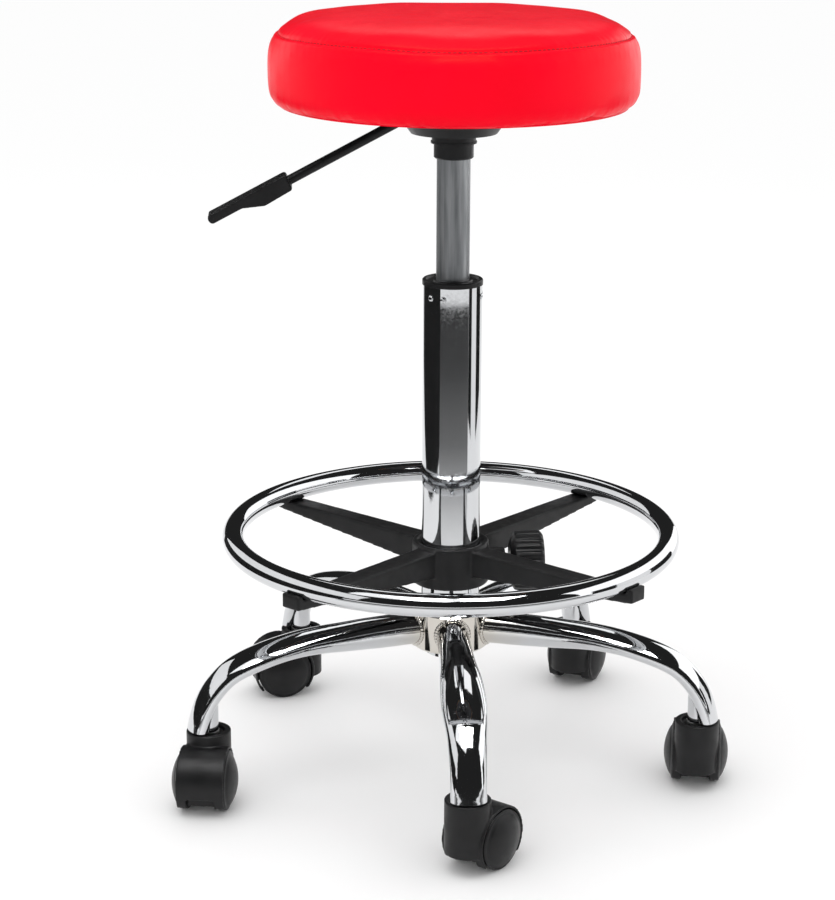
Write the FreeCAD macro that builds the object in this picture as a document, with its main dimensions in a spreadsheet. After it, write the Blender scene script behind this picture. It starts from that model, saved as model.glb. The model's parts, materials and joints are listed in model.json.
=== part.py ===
import FreeCAD, Part
import math
import os
import Sketcher
from FreeCAD import Placement, Rotation, Vector

# A rolling stylist stool: a padded round seat on a gas lift, a chromed column with a sliding foot ring,
# and a base of five bent tube legs on hooded twin-wheel casters.
# Frame: +Z up, the floor at Z = 0 under the middle of the column, -Y the front. Lengths in millimetres.
# A bearing, such as the one a leg or a lever points in, is in degrees from the front towards +X.

doc = FreeCAD.newDocument("stylist_stool")
sheet = doc.addObject("Spreadsheet::Sheet", "dims")

# ---------------------------------------------------------------- driving dimensions
SIZES = (
    ("slip", 0.08, "radial clearance of a turning or sliding fit"),
    ("gap", 0.3, "clearance between pieces that only pass each other"),
    ("snug", 0.04, "radial clearance of a fixed fit"),
    # column and lift
    ("column_bottom", 104, "height of the column's lower end"),
    ("column_length", 326, "length of the column tube"),
    ("column_diameter", 50, "outer diameter of the column"),
    ("column_wall", 2, "wall of the column"),
    ("column_foot_diameter", 41, "diameter of the column's tapered lower end"),
    ("column_taper_start", 7, "how far above its lower end the taper starts"),
    ("column_taper_length", 30, "length of the taper"),
    ("column_floor", 3, "thickness of the column's closed bottom"),
    ("bush_flange_height", 4.5, "height of the guide bush's flange"),
    ("bush_flange_overhang", 0.5, "how far the guide bush's flange stands out past the column"),
    ("bush_length", 92, "length of the guide bush inside the column"),
    ("rivet_drop", 9, "depth of the bush rivets below the column's top"),
    ("rivet_diameter", 5.4, "diameter of a bush rivet"),
    ("rivet_grip", 2, "how far a bush rivet reaches into the bush"),
    ("rivet_bearing", 310, "bearing of the first bush rivet"),
    ("rivet_spread", 28, "angle between the two rivets of a pair"),
    ("bush_edge", 0.8, "chamfer of the bush flange's edge"),
    ("bush_rim", 3, "width of the raised rim round the bush's flange"),
    ("bush_lip", 2, "width of the raised lip round the bush's bore"),
    ("bush_lip_drop", 0.5, "depth of the lip's top below the rim's"),
    ("bush_recess", 2, "depth of the recess between the rim and the lip"),
    ("lift_travel", 100, "travel of the seat above and below its rest"),
    ("lift_exposed", 101, "bare length of the gas cylinder at rest"),
    ("cylinder_diameter", 28, "outer diameter of the gas cylinder"),
    ("cylinder_wall", 2, "wall of the gas cylinder"),
    ("cylinder_below", 202, "length of the gas cylinder below the bush at rest"),
    ("cone_length", 20, "length of the cylinder's tapered head"),
    ("cone_narrowing", 0.8, "how much the head's radius shrinks"),
    ("cylinder_roof", 9, "thickness of the gas cylinder's closed head"),
    ("cone_lead", 2, "height over which the bore narrows below the head"),
    ("guide_plug_height", 18, "height of the rod guide and seal"),
    ("guide_plug_rise", 1, "height of the rod guide above the cylinder's lower end"),
    ("rod_diameter", 10, "diameter of the piston rod"),
    ("rod_end_diameter", 8, "diameter of the rod's two stepped ends"),
    ("rod_below", 4, "how far the rod stands out below the column"),
    ("rod_tip", 1, "how far the rod stands out above the piston"),
    ("rod_step", 0.2, "clearance between the rod's upper shoulder and the piston"),
    ("piston_height", 14, "height of the piston"),
    ("piston_spare", 6, "distance left between the piston and the rod guide at full travel"),
    ("clip_diameter", 16, "diameter of the rod's clip"),
    ("clip_thickness", 1.5, "thickness of the rod's clip"),
    ("clip_rise", 1, "height of the clip above the rod's lower end"),
    ("race_diameter", 26, "diameter of the bearing races"),
    ("race_height", 2.4, "height of a bearing race"),
    ("ball_diameter", 4, "diameter of a bearing ball"),
    ("valve_height", 30, "height of the valve body"),
    ("valve_floor", 2, "thickness of the valve body's floor"),
    ("valve_stroke", 4, "room below the valve pin"),
    ("valve_pin_diameter", 6, "diameter of the valve pin"),
    ("valve_pin_rise", 5.2, "how far the valve pin stands above the cylinder"),
    # seat
    ("collar_height", 12.5, "height of the plastic collar under the socket"),
    ("collar_diameter", 33, "diameter of the plastic collar"),
    ("collar_edge", 1, "chamfer of the collar's lower edge"),
    ("socket_diameter", 36.6, "diameter of the taper socket"),
    ("socket_height", 8.5, "height of the socket below the dish"),
    ("socket_bead", 0.8, "how far the socket's bead stands out"),
    ("socket_bead_height", 1.5, "height of the socket's bead"),
    ("socket_flare", 1, "how far the socket flares out to the dish"),
    ("socket_flare_start", 5, "height at which the socket starts to flare"),
    ("socket_step", 0.5, "how far the socket steps in through the dish"),
    ("socket_head_drop", 2, "depth of the socket's top below the cylinder's"),
    ("plate_width", 150, "width of the square seat plate"),
    ("plate_thickness", 3, "thickness of the seat plate"),
    ("dish_depth", 19.3, "depth of the dish pressed into the plate"),
    ("dish_diameter", 72, "diameter of the dish at its bottom"),
    ("dish_mouth", 100, "diameter of the dish at the plate"),
    ("dish_lap", 8, "width of the level rim round the dish's mouth"),
    ("dish_shift", 1, "how far the dish's inner corners lie inside the outer ones"),
    ("bolt_spacing", 118, "spacing of the seat bolts"),
    ("bolt_diameter", 6, "diameter of a seat bolt"),
    ("bolt_head_diameter", 11, "diameter of a bolt head"),
    ("bolt_head_height", 3.5, "height of a bolt head"),
    ("bolt_end_drop", 2, "depth of a bolt's end below the board's top"),
    ("nut_flange_diameter", 18, "diameter of a tee nut's flange"),
    ("nut_flange_height", 1.3, "height of a tee nut's flange"),
    ("nut_barrel_diameter", 8.4, "diameter of a tee nut's barrel"),
    ("nut_height", 9, "height of a tee nut"),
    ("board_thickness", 12, "thickness of the seat board"),
    ("dust_cover_thickness", 1, "thickness of the dust cover"),
    ("dust_cover_margin", 0.5, "gap between the dust cover and the cover's turned edge"),
    ("cover_thickness", 1.5, "thickness of the vinyl cover"),
    ("seat_diameter", 309, "diameter of the seat"),
    ("seat_thickness", 71, "thickness of the seat"),
    ("seat_top_round", 32, "radius of the seat's upper edge"),
    ("seat_bottom_round", 12, "radius of the seat's lower edge"),
    ("cover_return", 9, "how far the cover turns in past the lower round"),
    # lever
    ("lever_slope", 28, "slope of the lever below the horizontal"),
    ("lever_pivot_reach", 32, "distance of the lever's pivot from the axis"),
    ("lever_pivot_drop", 6.5, "depth of the lever's pivot below the plate's top"),
    ("lever_reach", 117, "distance from the pivot to the handle"),
    ("lever_insert", 25, "length of the rod inside the handle"),
    ("lever_end_gap", 5, "how far short of the axis the lever ends"),
    ("lever_slot_width", 24, "width of the slot above the lever"),
    ("lever_slot_outer", 16, "how far the slot above the lever runs out past the pivot"),
    ("lever_slot_inner", 18, "how far the slot above the lever runs past the axis"),
    ("plate_slot_length", 20, "length of the slot in the plate, out from the pivot"),
    ("lever_diameter", 8, "diameter of the lever rod"),
    ("pivot_pin_diameter", 5, "diameter of the lever's pivot pin"),
    ("sleeve_diameter", 10, "diameter of the lever's pivot sleeve"),
    ("sleeve_length", 10.8, "length of the lever's pivot sleeve"),
    ("ear_thickness", 2.5, "thickness of a pivot ear"),
    ("ear_length", 12, "length of a pivot ear"),
    ("ear_drop", 4, "how far an ear hangs below the pivot"),
    ("web_length", 26, "length of the web that holds an ear"),
    ("web_reach", 24, "how far an ear's web runs out past the pivot"),
    ("pin_overhang", 1, "how far the pivot pin stands out of an ear"),
    ("handle_length", 74, "length of the lever handle"),
    ("handle_width", 22, "width of the lever handle"),
    ("handle_depth", 14, "depth of the handle at its socket"),
    ("paddle_thickness", 8, "thickness of the handle's paddle"),
    ("handle_edge", 1.5, "chamfer of the handle's socket end"),
    ("handle_belly", 1, "how far the handle's belly hangs below its socket end"),
    ("handle_neck", 1, "how far the handle's neck draws in above its belly"),
    # foot ring
    ("ring_radius", 186.5, "radius of the foot ring's centreline"),
    ("ring_tube", 19, "diameter of the foot ring's tube"),
    ("ring_wall", 1.5, "wall of the foot ring's tube"),
    ("ring_height", 212, "height of the foot ring at rest"),
    ("spoke_bearing", 46, "bearing of the first spoke"),
    ("hub_diameter", 66, "diameter of the spider's hub"),
    ("hub_height", 34, "height of the spider's hub"),
    ("lip_height", 2.5, "height of the lip on the hub"),
    ("lip_width", 4, "width of the lip on the hub"),
    ("lip_edge", 1, "chamfer of the lip's edge"),
    ("lip_groove", 1.6, "depth of the hub's top inside the lip"),
    ("spoke_root", 10, "distance from the axis at which a spoke starts"),
    ("spoke_root_width", 21, "width of a spoke at the hub"),
    ("spoke_tip_width", 18, "width of a spoke at the ring"),
    ("spoke_root_depth", 25, "depth of a spoke at the hub"),
    ("spoke_tip_depth", 8, "depth of a spoke at the ring"),
    ("spoke_wall", 3.5, "wall of a spoke around its hollow underside"),
    ("spoke_seat", 0.8, "depth of the ring's seat in a spoke"),
    ("hook_thickness", 3, "thickness of the hook outside the ring"),
    ("hook_height", 4, "height of the hook above the spoke"),
    ("hook_lap", 3, "depth of the hook inside the spoke"),
    ("screw_sink", 1, "depth of a screw head's seat in a spoke"),
    ("screw_head_height", 2.2, "height of a spoke screw's head"),
    ("screw_bite", 2, "how far a screw reaches past the spoke"),
    ("spoke_screw_diameter", 4, "diameter of a spoke screw"),
    ("boss_diameter", 24, "diameter of the clamp boss"),
    ("boss_reach", 47, "distance of the clamp boss's face from the axis"),
    ("knob_diameter", 52, "diameter of the clamp knob"),
    ("knob_length", 29, "length of the clamp knob"),
    ("knob_reach", 51, "distance of the knob's inner face from the axis"),
    ("knob_drop", 18, "depth of the knob's axis below the spokes' top"),
    ("knob_edge", 5, "radius of the knob's outer edge"),
    ("knob_bevel", 4, "height of the knob's inner bevel"),
    ("knob_shoulder", 3, "height of the step between the bevel and the knob's side"),
    ("knob_shoulder_inset", 1.5, "how far that step lies inside the knob's side"),
    ("flute_diameter", 5.72, "diameter of the cutter of the knob's flutes"),
    ("flute_offset", 1.4, "distance of a flute's middle outside the knob's side"),
    ("stud_diameter", 8, "diameter of the clamp stud"),
    ("stud_in_knob", 17.4, "length of the clamp stud inside the knob"),
    ("insert_diameter", 13, "diameter of the threaded insert"),
    ("insert_length", 12, "length of the threaded insert"),
    ("pad_diameter", 9, "diameter of the clamp pad"),
    ("pad_length", 2.8, "length of the clamp pad"),
    ("clamp_travel", 1.25, "travel of the clamp pad in one turn of the knob"),
    # base
    ("base_hub_diameter", 68, "diameter of the base hub"),
    ("base_hub_height", 35, "height of the base hub"),
    ("base_hub_edge", 2, "chamfer of the base hub's edges"),
    ("leg_height", 129, "height of a leg's centreline at the hub"),
    ("leg_straight", 115, "distance from the axis at which a leg starts to bend"),
    ("leg_first_radius", 210, "radius of a leg's first bend"),
    ("leg_first_angle", 20, "angle of a leg's first bend"),
    ("leg_second_radius", 62, "radius of a leg's second bend"),
    ("leg_second_angle", 55, "angle of a leg's second bend"),
    ("leg_tube", 28, "diameter of a leg at the hub"),
    ("leg_wall", 1.5, "wall of a leg"),
    ("leg_wide", 37, "greatest width of a leg"),
    ("leg_thin", 18.5, "thickness of a leg where it is widest"),
    ("leg_end_width", 29, "width of a leg's end"),
    ("leg_end_thickness", 17, "thickness of a leg's end"),
    ("leg_end_gap", 2, "gap between a caster and the leg's end above it"),
    ("leg_end_past", 8, "how far past the stem a leg reaches its end width"),
    ("socket_tube_diameter", 17, "outer diameter of a caster socket"),
    ("socket_tube_bore", 12, "bore of a caster socket"),
    ("socket_tube_length", 24, "length of a caster socket"),
    ("socket_tube_cap", 2, "thickness of a caster socket's closed end"),
    # casters
    ("stem_radius", 219, "distance of the caster stems from the axis"),
    ("caster_height", 62, "height of a caster's collar"),
    ("caster_trail", 20, "distance of the wheels' axle from the stem"),
    ("wheel_diameter", 50, "diameter of a wheel"),
    ("wheel_inner", 12.1, "distance of a wheel's inner face from the caster's middle"),
    ("wheel_tread", 8.4, "width of a wheel's tread"),
    ("wheel_dome", 7.2, "height of a wheel's domed cap"),
    ("wheel_edge", 1, "chamfer of a wheel's inner edge"),
    ("wheel_shoulder", 0.8, "chamfer between a wheel's tread and its cap"),
    ("wheel_cap", 4, "thickness of the cap over the axle's end"),
    ("hood_radius", 28, "outer radius of a hood"),
    ("hood_width", 40, "width of a hood"),
    ("hood_web", 23.4, "width of the hood's middle web"),
    ("hood_bottom", 8, "height of the hood's lower edge"),
    ("hood_notch", 17, "height of the notch in the hood's lower edge"),
    ("hood_collar_diameter", 37.5, "diameter of a hood's collar"),
    ("hood_recess_diameter", 27, "diameter of the recess in the collar"),
    ("hood_recess_depth", 4, "depth of the recess in the collar"),
    ("stem_diameter", 11, "diameter of a caster stem"),
    ("stem_depth", 24, "length of a stem inside the hood"),
    ("stem_flange", 4, "width of the flange round a stem"),
    ("stem_groove_rise", 14, "height of a stem's groove above the hood"),
    ("stem_groove_depth", 0.6, "depth of a stem's groove"),
    ("stem_groove_width", 2, "width of a stem's groove"),
    ("stem_head", 7, "height of a stem above its groove's lower edge"),
    ("grip_play", 0.2, "clearance above and below a grip ring"),
    ("axle_diameter", 6, "diameter of a caster axle"),
    ("caster_bearing_1", 139, "bearing in which caster 1 trails"),
    ("caster_bearing_2", 170, "bearing in which caster 2 trails"),
    ("caster_bearing_3", 156, "bearing in which caster 3 trails"),
    ("caster_bearing_4", 282, "bearing in which caster 4 trails"),
    ("caster_bearing_5", 351, "bearing in which caster 5 trails"),
)
for row, (alias, amount, note) in enumerate(SIZES, start=1):
    sheet.set(f"A{row}", note)
    sheet.set(f"B{row}", str(amount))
    sheet.setAlias(f"B{row}", alias)
doc.recompute()

LEGS = 5
SPOKES = 4
BALLS = 10
FLUTES = 18
LEG_SECTIONS = 14
RIVET_PAIRS = 3
LEG_STEP = 360 / LEGS
SPOKE_STEP = 360 / SPOKES
# Where the handle's outline turns, as shares of its length, and how round its tip is for its thickness.
BELLY_SHARE = 0.36
NECK_SHARE = 0.43
PADDLE_SHARE = 0.6
TIP_SHARE = 0.6
# The flat of the knob's inner face, as a share of its radius.
KNOB_FACE_SHARE = 0.62
# Where a leg starts to flatten, as a share of its straight, and where it is widest, of its first bend.
ROUND_SHARE = 0.45
WIDEST_SHARE = 0.8
# An ellipse needs unequal axes, so a round section is this much out of round.
OUT_OF_ROUND = 0.01
UP = Vector(0, 0, 1)
ALONG_Y = Rotation(Vector(1, 0, 0), -90)
ALONG_X = Rotation(Vector(0, 1, 0), 90)

nodes = []


# ---------------------------------------------------------------- helpers
def size(alias):
    """A driving dimension as a number."""
    return float(getattr(sheet, alias))


def node(solid, label):
    """Name a finished sub-part and list it for export."""
    solid.Label = label
    nodes.append(solid)
    return solid


def place(solid, x="0", y="0", z="0", rotation=Rotation()):
    """Turn an object and bind its position to three expressions."""
    solid.Placement = Placement(Vector(), rotation)
    for axis, expression in zip("xyz", (x, y, z)):
        solid.setExpression("Placement.Base." + axis, expression)
    return solid


def cylinder(name, diameter, height, x="0", y="0", z="0", rotation=Rotation()):
    """A cylinder that starts at its place and runs along its own turned Z."""
    solid = doc.addObject("Part::Cylinder", name)
    solid.setExpression("Radius", f"({diameter}) / 2")
    solid.setExpression("Height", height)
    return place(solid, x, y, z, rotation)


def box(name, length, width, height, x="0", y="0", z="0"):
    """A box that starts at x and z and is centred on y."""
    solid = doc.addObject("Part::Box", name)
    solid.setExpression("Length", length)
    solid.setExpression("Width", width)
    solid.setExpression("Height", height)
    return place(solid, x, f"{y} - ({width}) / 2", z)


def torus(name, radius, tube, z):
    """A ring round the upright axis, of the given tube diameter."""
    solid = doc.addObject("Part::Torus", name)
    solid.setExpression("Radius1", radius)
    solid.setExpression("Radius2", f"({tube}) / 2")
    return place(solid, z=z)


def fuse(name, *solids):
    """The union of several objects."""
    union = doc.addObject("Part::MultiFuse", name)
    union.Shapes = list(solids)
    return union


def cut(name, base, *tools):
    """The base without the tools."""
    rest = doc.addObject("Part::Cut", name)
    rest.Base = base
    rest.Tool = tools[0] if len(tools) == 1 else fuse(name + "_tools", *tools)
    return rest


def group(name, solids):
    """Separate solids in one object."""
    bundle = doc.addObject("Part::Compound", name)
    bundle.Links = list(solids)
    return bundle


def pointing(bearing):
    """The rotation that turns local +X to a bearing."""
    return Rotation(UP, bearing - 90)


def across(distance, bearing):
    """The expressions of X and Y at a distance from the axis in a bearing."""
    return f"({distance}) * sin({bearing})", f"-({distance}) * cos({bearing})"


def origin_plane(body, role):
    """One of a body's own origin planes."""
    return next(item for item in body.Origin.OriginFeatures if item.Role == role)


def arc_between(start, end, radius, turn):
    """The short arc from start to end: turn is 1 for anticlockwise and -1 for clockwise."""
    half = (end - start) * 0.5
    side = Vector(-half.y, half.x, 0).normalize() * turn
    centre = start + half + side * math.sqrt(max(radius * radius - half.Length ** 2, 0))
    first, last = (start, end) if turn > 0 else (end, start)
    angles = [math.atan2(point.y - centre.y, point.x - centre.x) for point in (first, last)]
    return Part.ArcOfCircle(Part.Circle(centre, UP, radius), *angles)


def outline(body, role, corners):
    """A closed sketch: each corner is (x, y), or (x, y, radius, turn) where an arc leads to the next."""
    sketch = body.newObject("Sketcher::SketchObject", body.Name + "_sketch")
    sketch.AttachmentSupport = [(origin_plane(body, role), "")]
    sketch.MapMode = "FlatFace"

    def number(expression):
        return float(sketch.evalExpression(expression))

    places = [Vector(number(corner[0]), number(corner[1]), 0) for corner in corners]
    ends = []
    for index, corner in enumerate(corners):
        start, end = places[index], places[(index + 1) % len(places)]
        if len(corner) == 2:
            sketch.addGeometry(Part.LineSegment(start, end), False)
            ends.append((1, 2))
        else:
            sketch.addGeometry(arc_between(start, end, number(corner[2]), corner[3]), False)
            ends.append((1, 2) if corner[3] > 0 else (2, 1))
    for index, corner in enumerate(corners):
        after = (index + 1) % len(corners)
        meeting = Sketcher.Constraint("Coincident", index, ends[index][1], after, ends[after][0])
        sketch.addConstraint(meeting)
    for index, corner in enumerate(corners):
        bound = [("DistanceX", corner[0], places[index].x), ("DistanceY", corner[1], places[index].y)]
        for kind, expression, amount in bound:
            rule = Sketcher.Constraint(kind, -1, 1, index, ends[index][0], amount)
            sketch.setExpression(f"Constraints[{sketch.addConstraint(rule)}]", expression)
        if len(corner) == 4:
            rule = Sketcher.Constraint("Radius", index, number(corner[2]))
            sketch.setExpression(f"Constraints[{sketch.addConstraint(rule)}]", corner[2])
    return sketch


def revolved(name, corners):
    """A body turned about its own upright axis: each corner is a distance from the axis and a height."""
    body = doc.addObject("PartDesign::Body", name)
    sketch = outline(body, "XZ_Plane", corners)
    turn = body.newObject("PartDesign::Revolution", name + "_turn")
    turn.Profile = sketch
    turn.ReferenceAxis = (sketch, ["V_Axis"])
    turn.Angle = 360
    return body


def padded(name, corners, width):
    """A body of an upright outline, drawn in X and Z, and as wide as `width` across Y."""
    body = doc.addObject("PartDesign::Body", name)
    sketch = outline(body, "XZ_Plane", corners)
    pad = body.newObject("PartDesign::Pad", name + "_pad")
    pad.Profile = sketch
    pad.setExpression("Length", width)
    pad.Midplane = True
    return body


def ring_outline(inner, outer, bottom, top):
    """The four corners of a plain ring's section."""
    return [(inner, bottom), (outer, bottom), (outer, top), (inner, top)]


# ---------------------------------------------------------------- levels, as expressions
column_top = "(dims.column_bottom + dims.column_length)"
column_inside = "(dims.column_bottom + dims.column_floor)"
bush_top = f"({column_top} + dims.bush_flange_height)"
collar_bottom = f"({bush_top} + dims.lift_exposed)"
socket_bottom = f"({collar_bottom} + dims.collar_height)"
cylinder_top = f"({socket_bottom} + dims.cone_length)"
cylinder_bottom = f"({bush_top} - dims.cylinder_below)"
dish_bottom = f"({socket_bottom} + dims.socket_height)"
plate_top = f"({dish_bottom} + dims.dish_depth + dims.plate_thickness)"
plate_bottom = f"({plate_top} - dims.plate_thickness)"
board_bottom = f"({plate_top} + dims.dust_cover_thickness)"
board_top = f"({board_bottom} + dims.board_thickness)"
seat_bottom = f"({board_bottom} - dims.cover_thickness)"
seat_top = f"({seat_bottom} + dims.seat_thickness)"
ring_bottom = "(dims.ring_height - dims.ring_tube / 2)"
spoke_top = f"({ring_bottom} + dims.spoke_seat)"
screw_seat = f"({spoke_top} - dims.spoke_tip_depth + dims.screw_sink)"
clamp_height = f"({spoke_top} - dims.knob_drop)"
base_hub_bottom = "(dims.leg_height - dims.base_hub_height / 2)"
base_hub_top = "(dims.leg_height + dims.base_hub_height / 2)"
pivot_height = f"({plate_top} - dims.lever_pivot_drop)"

# Other places that several pieces share
ear_place = "(dims.sleeve_length / 2 + dims.gap * 2 + dims.ear_thickness / 2)"
rod_fit = "dims.rod_diameter / 2 + dims.snug"
rivet_inner = "(dims.column_diameter / 2 - dims.column_wall - dims.rivet_grip)"


# ---------------------------------------------------------------- column
def column_radius(shrink):
    """Corners of the column's side, from its lower end up, moved in by `shrink`."""
    taper = "(dims.column_bottom + dims.column_taper_start)"
    return [
        (f"dims.column_foot_diameter / 2 - ({shrink})", taper),
        (f"dims.column_diameter / 2 - ({shrink})", f"{taper} + dims.column_taper_length"),
        (f"dims.column_diameter / 2 - ({shrink})", column_top),
    ]


def column_tube():
    """The column: a tube with a tapered lower end, closed except for the rod's hole."""
    hole = "dims.rod_end_diameter / 2 + dims.slip"
    inner_foot = "dims.column_foot_diameter / 2 - dims.column_wall"
    corners = [(hole, "dims.column_bottom"), ("dims.column_foot_diameter / 2", "dims.column_bottom")]
    corners += column_radius("0") + column_radius("dims.column_wall")[::-1]
    corners += [(inner_foot, column_inside), (hole, column_inside)]
    tube = revolved("column_body", corners)
    holes = [
        cylinder(
            f"column_hole_{index}",
            "dims.rivet_diameter",
            "dims.column_diameter",
            z=f"{column_top} - dims.rivet_drop",
            rotation=pointing(bearing) * ALONG_X,
        )
        for index, bearing in enumerate(rivet_bearings())
    ]
    return node(cut("column_cut", tube, *holes), "column_tube")


def rivet_bearings():
    """The bearings of the bush rivets, in pairs round the column."""
    firsts = [size("rivet_bearing") + index * 360 / RIVET_PAIRS for index in range(RIVET_PAIRS)]
    return [first + offset for first in firsts for offset in (0, size("rivet_spread"))]


def bush_rivets():
    """Short rivets that hold the guide bush in the column."""
    rivets = []
    for index, bearing in enumerate(rivet_bearings()):
        x, y = across(rivet_inner, bearing)
        rivets.append(
            cylinder(
                f"rivet_{index}",
                "dims.rivet_diameter - 2 * dims.snug",
                "dims.column_wall + dims.rivet_grip",
                x,
                y,
                f"{column_top} - dims.rivet_drop",
                pointing(bearing) * ALONG_X,
            )
        )
    return node(group("rivets", rivets), "bush_rivets")


def guide_bush():
    """The plastic bush that guides the gas cylinder, with a recessed flange on the column's top."""
    bore = "dims.cylinder_diameter / 2 + dims.slip"
    sleeve = "dims.column_diameter / 2 - dims.column_wall - dims.snug"
    flange = "(dims.column_diameter / 2 + dims.bush_flange_overhang)"
    recess = f"{bush_top} - dims.bush_recess"
    lip = f"{bush_top} - dims.bush_lip_drop"
    corners = [
        (bore, f"{column_top} - dims.bush_length"),
        (sleeve, f"{column_top} - dims.bush_length"),
        (sleeve, column_top),
        (flange, column_top),
        (flange, f"{bush_top} - dims.bush_edge"),
        (f"{flange} - dims.bush_edge", bush_top),
        (f"{flange} - dims.bush_rim", bush_top),
        (f"{flange} - dims.bush_rim - dims.bush_recess / 2", recess),
        (f"{bore} + dims.bush_lip + dims.bush_recess / 2", recess),
        (f"{bore} + dims.bush_lip", lip),
        (bore, lip),
    ]
    sockets = []
    for index, bearing in enumerate(rivet_bearings()):
        x, y = across(f"{rivet_inner} - dims.snug", bearing)
        sockets.append(
            cylinder(
                f"bush_socket_{index}",
                "dims.rivet_diameter",
                "dims.column_wall + dims.rivet_grip",
                x,
                y,
                f"{column_top} - dims.rivet_drop",
                pointing(bearing) * ALONG_X,
            )
        )
    return node(cut("bush_cut", revolved("bush_body", corners), *sockets), "guide_bush")


# ---------------------------------------------------------------- lift
def thrust_bearing():
    """The bearing in the column's foot: a fixed race, a ring of balls and a turning race."""
    bore = "dims.rod_diameter / 2 + dims.slip"
    rim = "dims.race_diameter / 2"
    lower = "(" + column_inside + " + dims.race_height)"
    upper = f"({lower} + dims.ball_diameter + 2 * dims.slip)"
    node(revolved("lower_race", ring_outline(bore, rim, column_inside, lower)), "bearing_lower_race")
    balls = []
    for index in range(BALLS):
        ball = doc.addObject("Part::Sphere", f"ball_{index}")
        ball.setExpression("Radius", "dims.ball_diameter / 2")
        x, y = across("(dims.rod_diameter + dims.race_diameter) / 4", f"{index * 360 / BALLS}")
        balls.append(place(ball, x, y, f"{lower} + dims.slip + dims.ball_diameter / 2"))
    node(group("balls", balls), "bearing_balls")
    race = revolved("upper_race", ring_outline(rod_fit, rim, upper, f"{upper} + dims.race_height"))
    node(race, "bearing_upper_race")


def piston_rod():
    """The rod that stands on the bearing, its piston and its clip."""
    rod = "dims.rod_diameter / 2"
    rod_end = "dims.rod_end_diameter / 2"
    plug_top = f"({cylinder_bottom} + dims.guide_plug_rise + dims.guide_plug_height)"
    piston_bottom = f"({plug_top} + dims.lift_travel + dims.piston_spare)"
    piston_top = f"({piston_bottom} + dims.piston_height)"
    end = "(dims.column_bottom - dims.rod_below)"
    corners = [
        ("0", end),
        (rod_end, end),
        (rod_end, f"{column_inside} + dims.gap"),
        (rod, f"{column_inside} + dims.gap"),
        (rod, f"{piston_bottom} - dims.rod_step"),
        (rod_end, f"{piston_bottom} - dims.rod_step"),
        (rod_end, f"{piston_top} + dims.rod_tip"),
        ("0", f"{piston_top} + dims.rod_tip"),
    ]
    node(revolved("rod_body", corners), "piston_rod")
    bore = "dims.cylinder_diameter / 2 - dims.cylinder_wall"
    fitted = f"{rod_end} + dims.snug"
    piston = ring_outline(fitted, f"{bore} - dims.slip", piston_bottom, piston_top)
    node(revolved("piston_body", piston), "piston")
    clip_bottom = f"{end} + dims.clip_rise"
    clip_top = f"{clip_bottom} + dims.clip_thickness"
    clip = ring_outline(fitted, "dims.clip_diameter / 2", clip_bottom, clip_top)
    node(revolved("clip_body", clip), "rod_clip")


def gas_cylinder():
    """The gas cylinder with a tapered head, the plug that seals the rod and the valve."""
    outer = "dims.cylinder_diameter / 2"
    inner = "(dims.cylinder_diameter / 2 - dims.cylinder_wall)"
    pin_hole = "(dims.valve_pin_diameter / 2 + dims.slip)"
    roof = f"({cylinder_top} - dims.cylinder_roof)"
    corners = [
        (inner, cylinder_bottom),
        (outer, cylinder_bottom),
        (outer, socket_bottom),
        (f"{outer} - dims.cone_narrowing", cylinder_top),
        (pin_hole, cylinder_top),
        (pin_hole, roof),
        (f"{inner} - dims.cone_narrowing", roof),
        (f"{inner} - dims.cone_narrowing", socket_bottom),
        (inner, f"{socket_bottom} - dims.cone_lead"),
    ]
    node(revolved("cylinder_body", corners), "gas_cylinder")
    plug = ring_outline(
        "dims.rod_diameter / 2 + dims.slip",
        f"{inner} - dims.snug",
        f"{cylinder_bottom} + dims.guide_plug_rise",
        f"{cylinder_bottom} + dims.guide_plug_rise + dims.guide_plug_height",
    )
    node(revolved("plug_body", plug), "rod_guide")
    valve_top = f"({roof} - dims.gap)"
    valve_bottom = f"({valve_top} - dims.valve_height)"
    valve_floor = f"({valve_bottom} + dims.valve_floor)"
    valve_rim = f"{inner} - dims.cone_narrowing - dims.snug"
    valve = [
        ("0", valve_bottom),
        (valve_rim, valve_bottom),
        (valve_rim, valve_top),
        (pin_hole, valve_top),
        (pin_hole, valve_floor),
        ("0", valve_floor),
    ]
    node(revolved("valve_solid", valve), "valve_body")
    pin = [
        ("0", f"{valve_floor} + dims.valve_stroke"),
        ("dims.valve_pin_diameter / 2", f"{valve_floor} + dims.valve_stroke"),
        ("dims.valve_pin_diameter / 2", f"{cylinder_top} + dims.valve_pin_rise"),
        ("0", f"{cylinder_top} + dims.valve_pin_rise"),
    ]
    node(revolved("pin_body", pin), "valve_pin")


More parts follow.
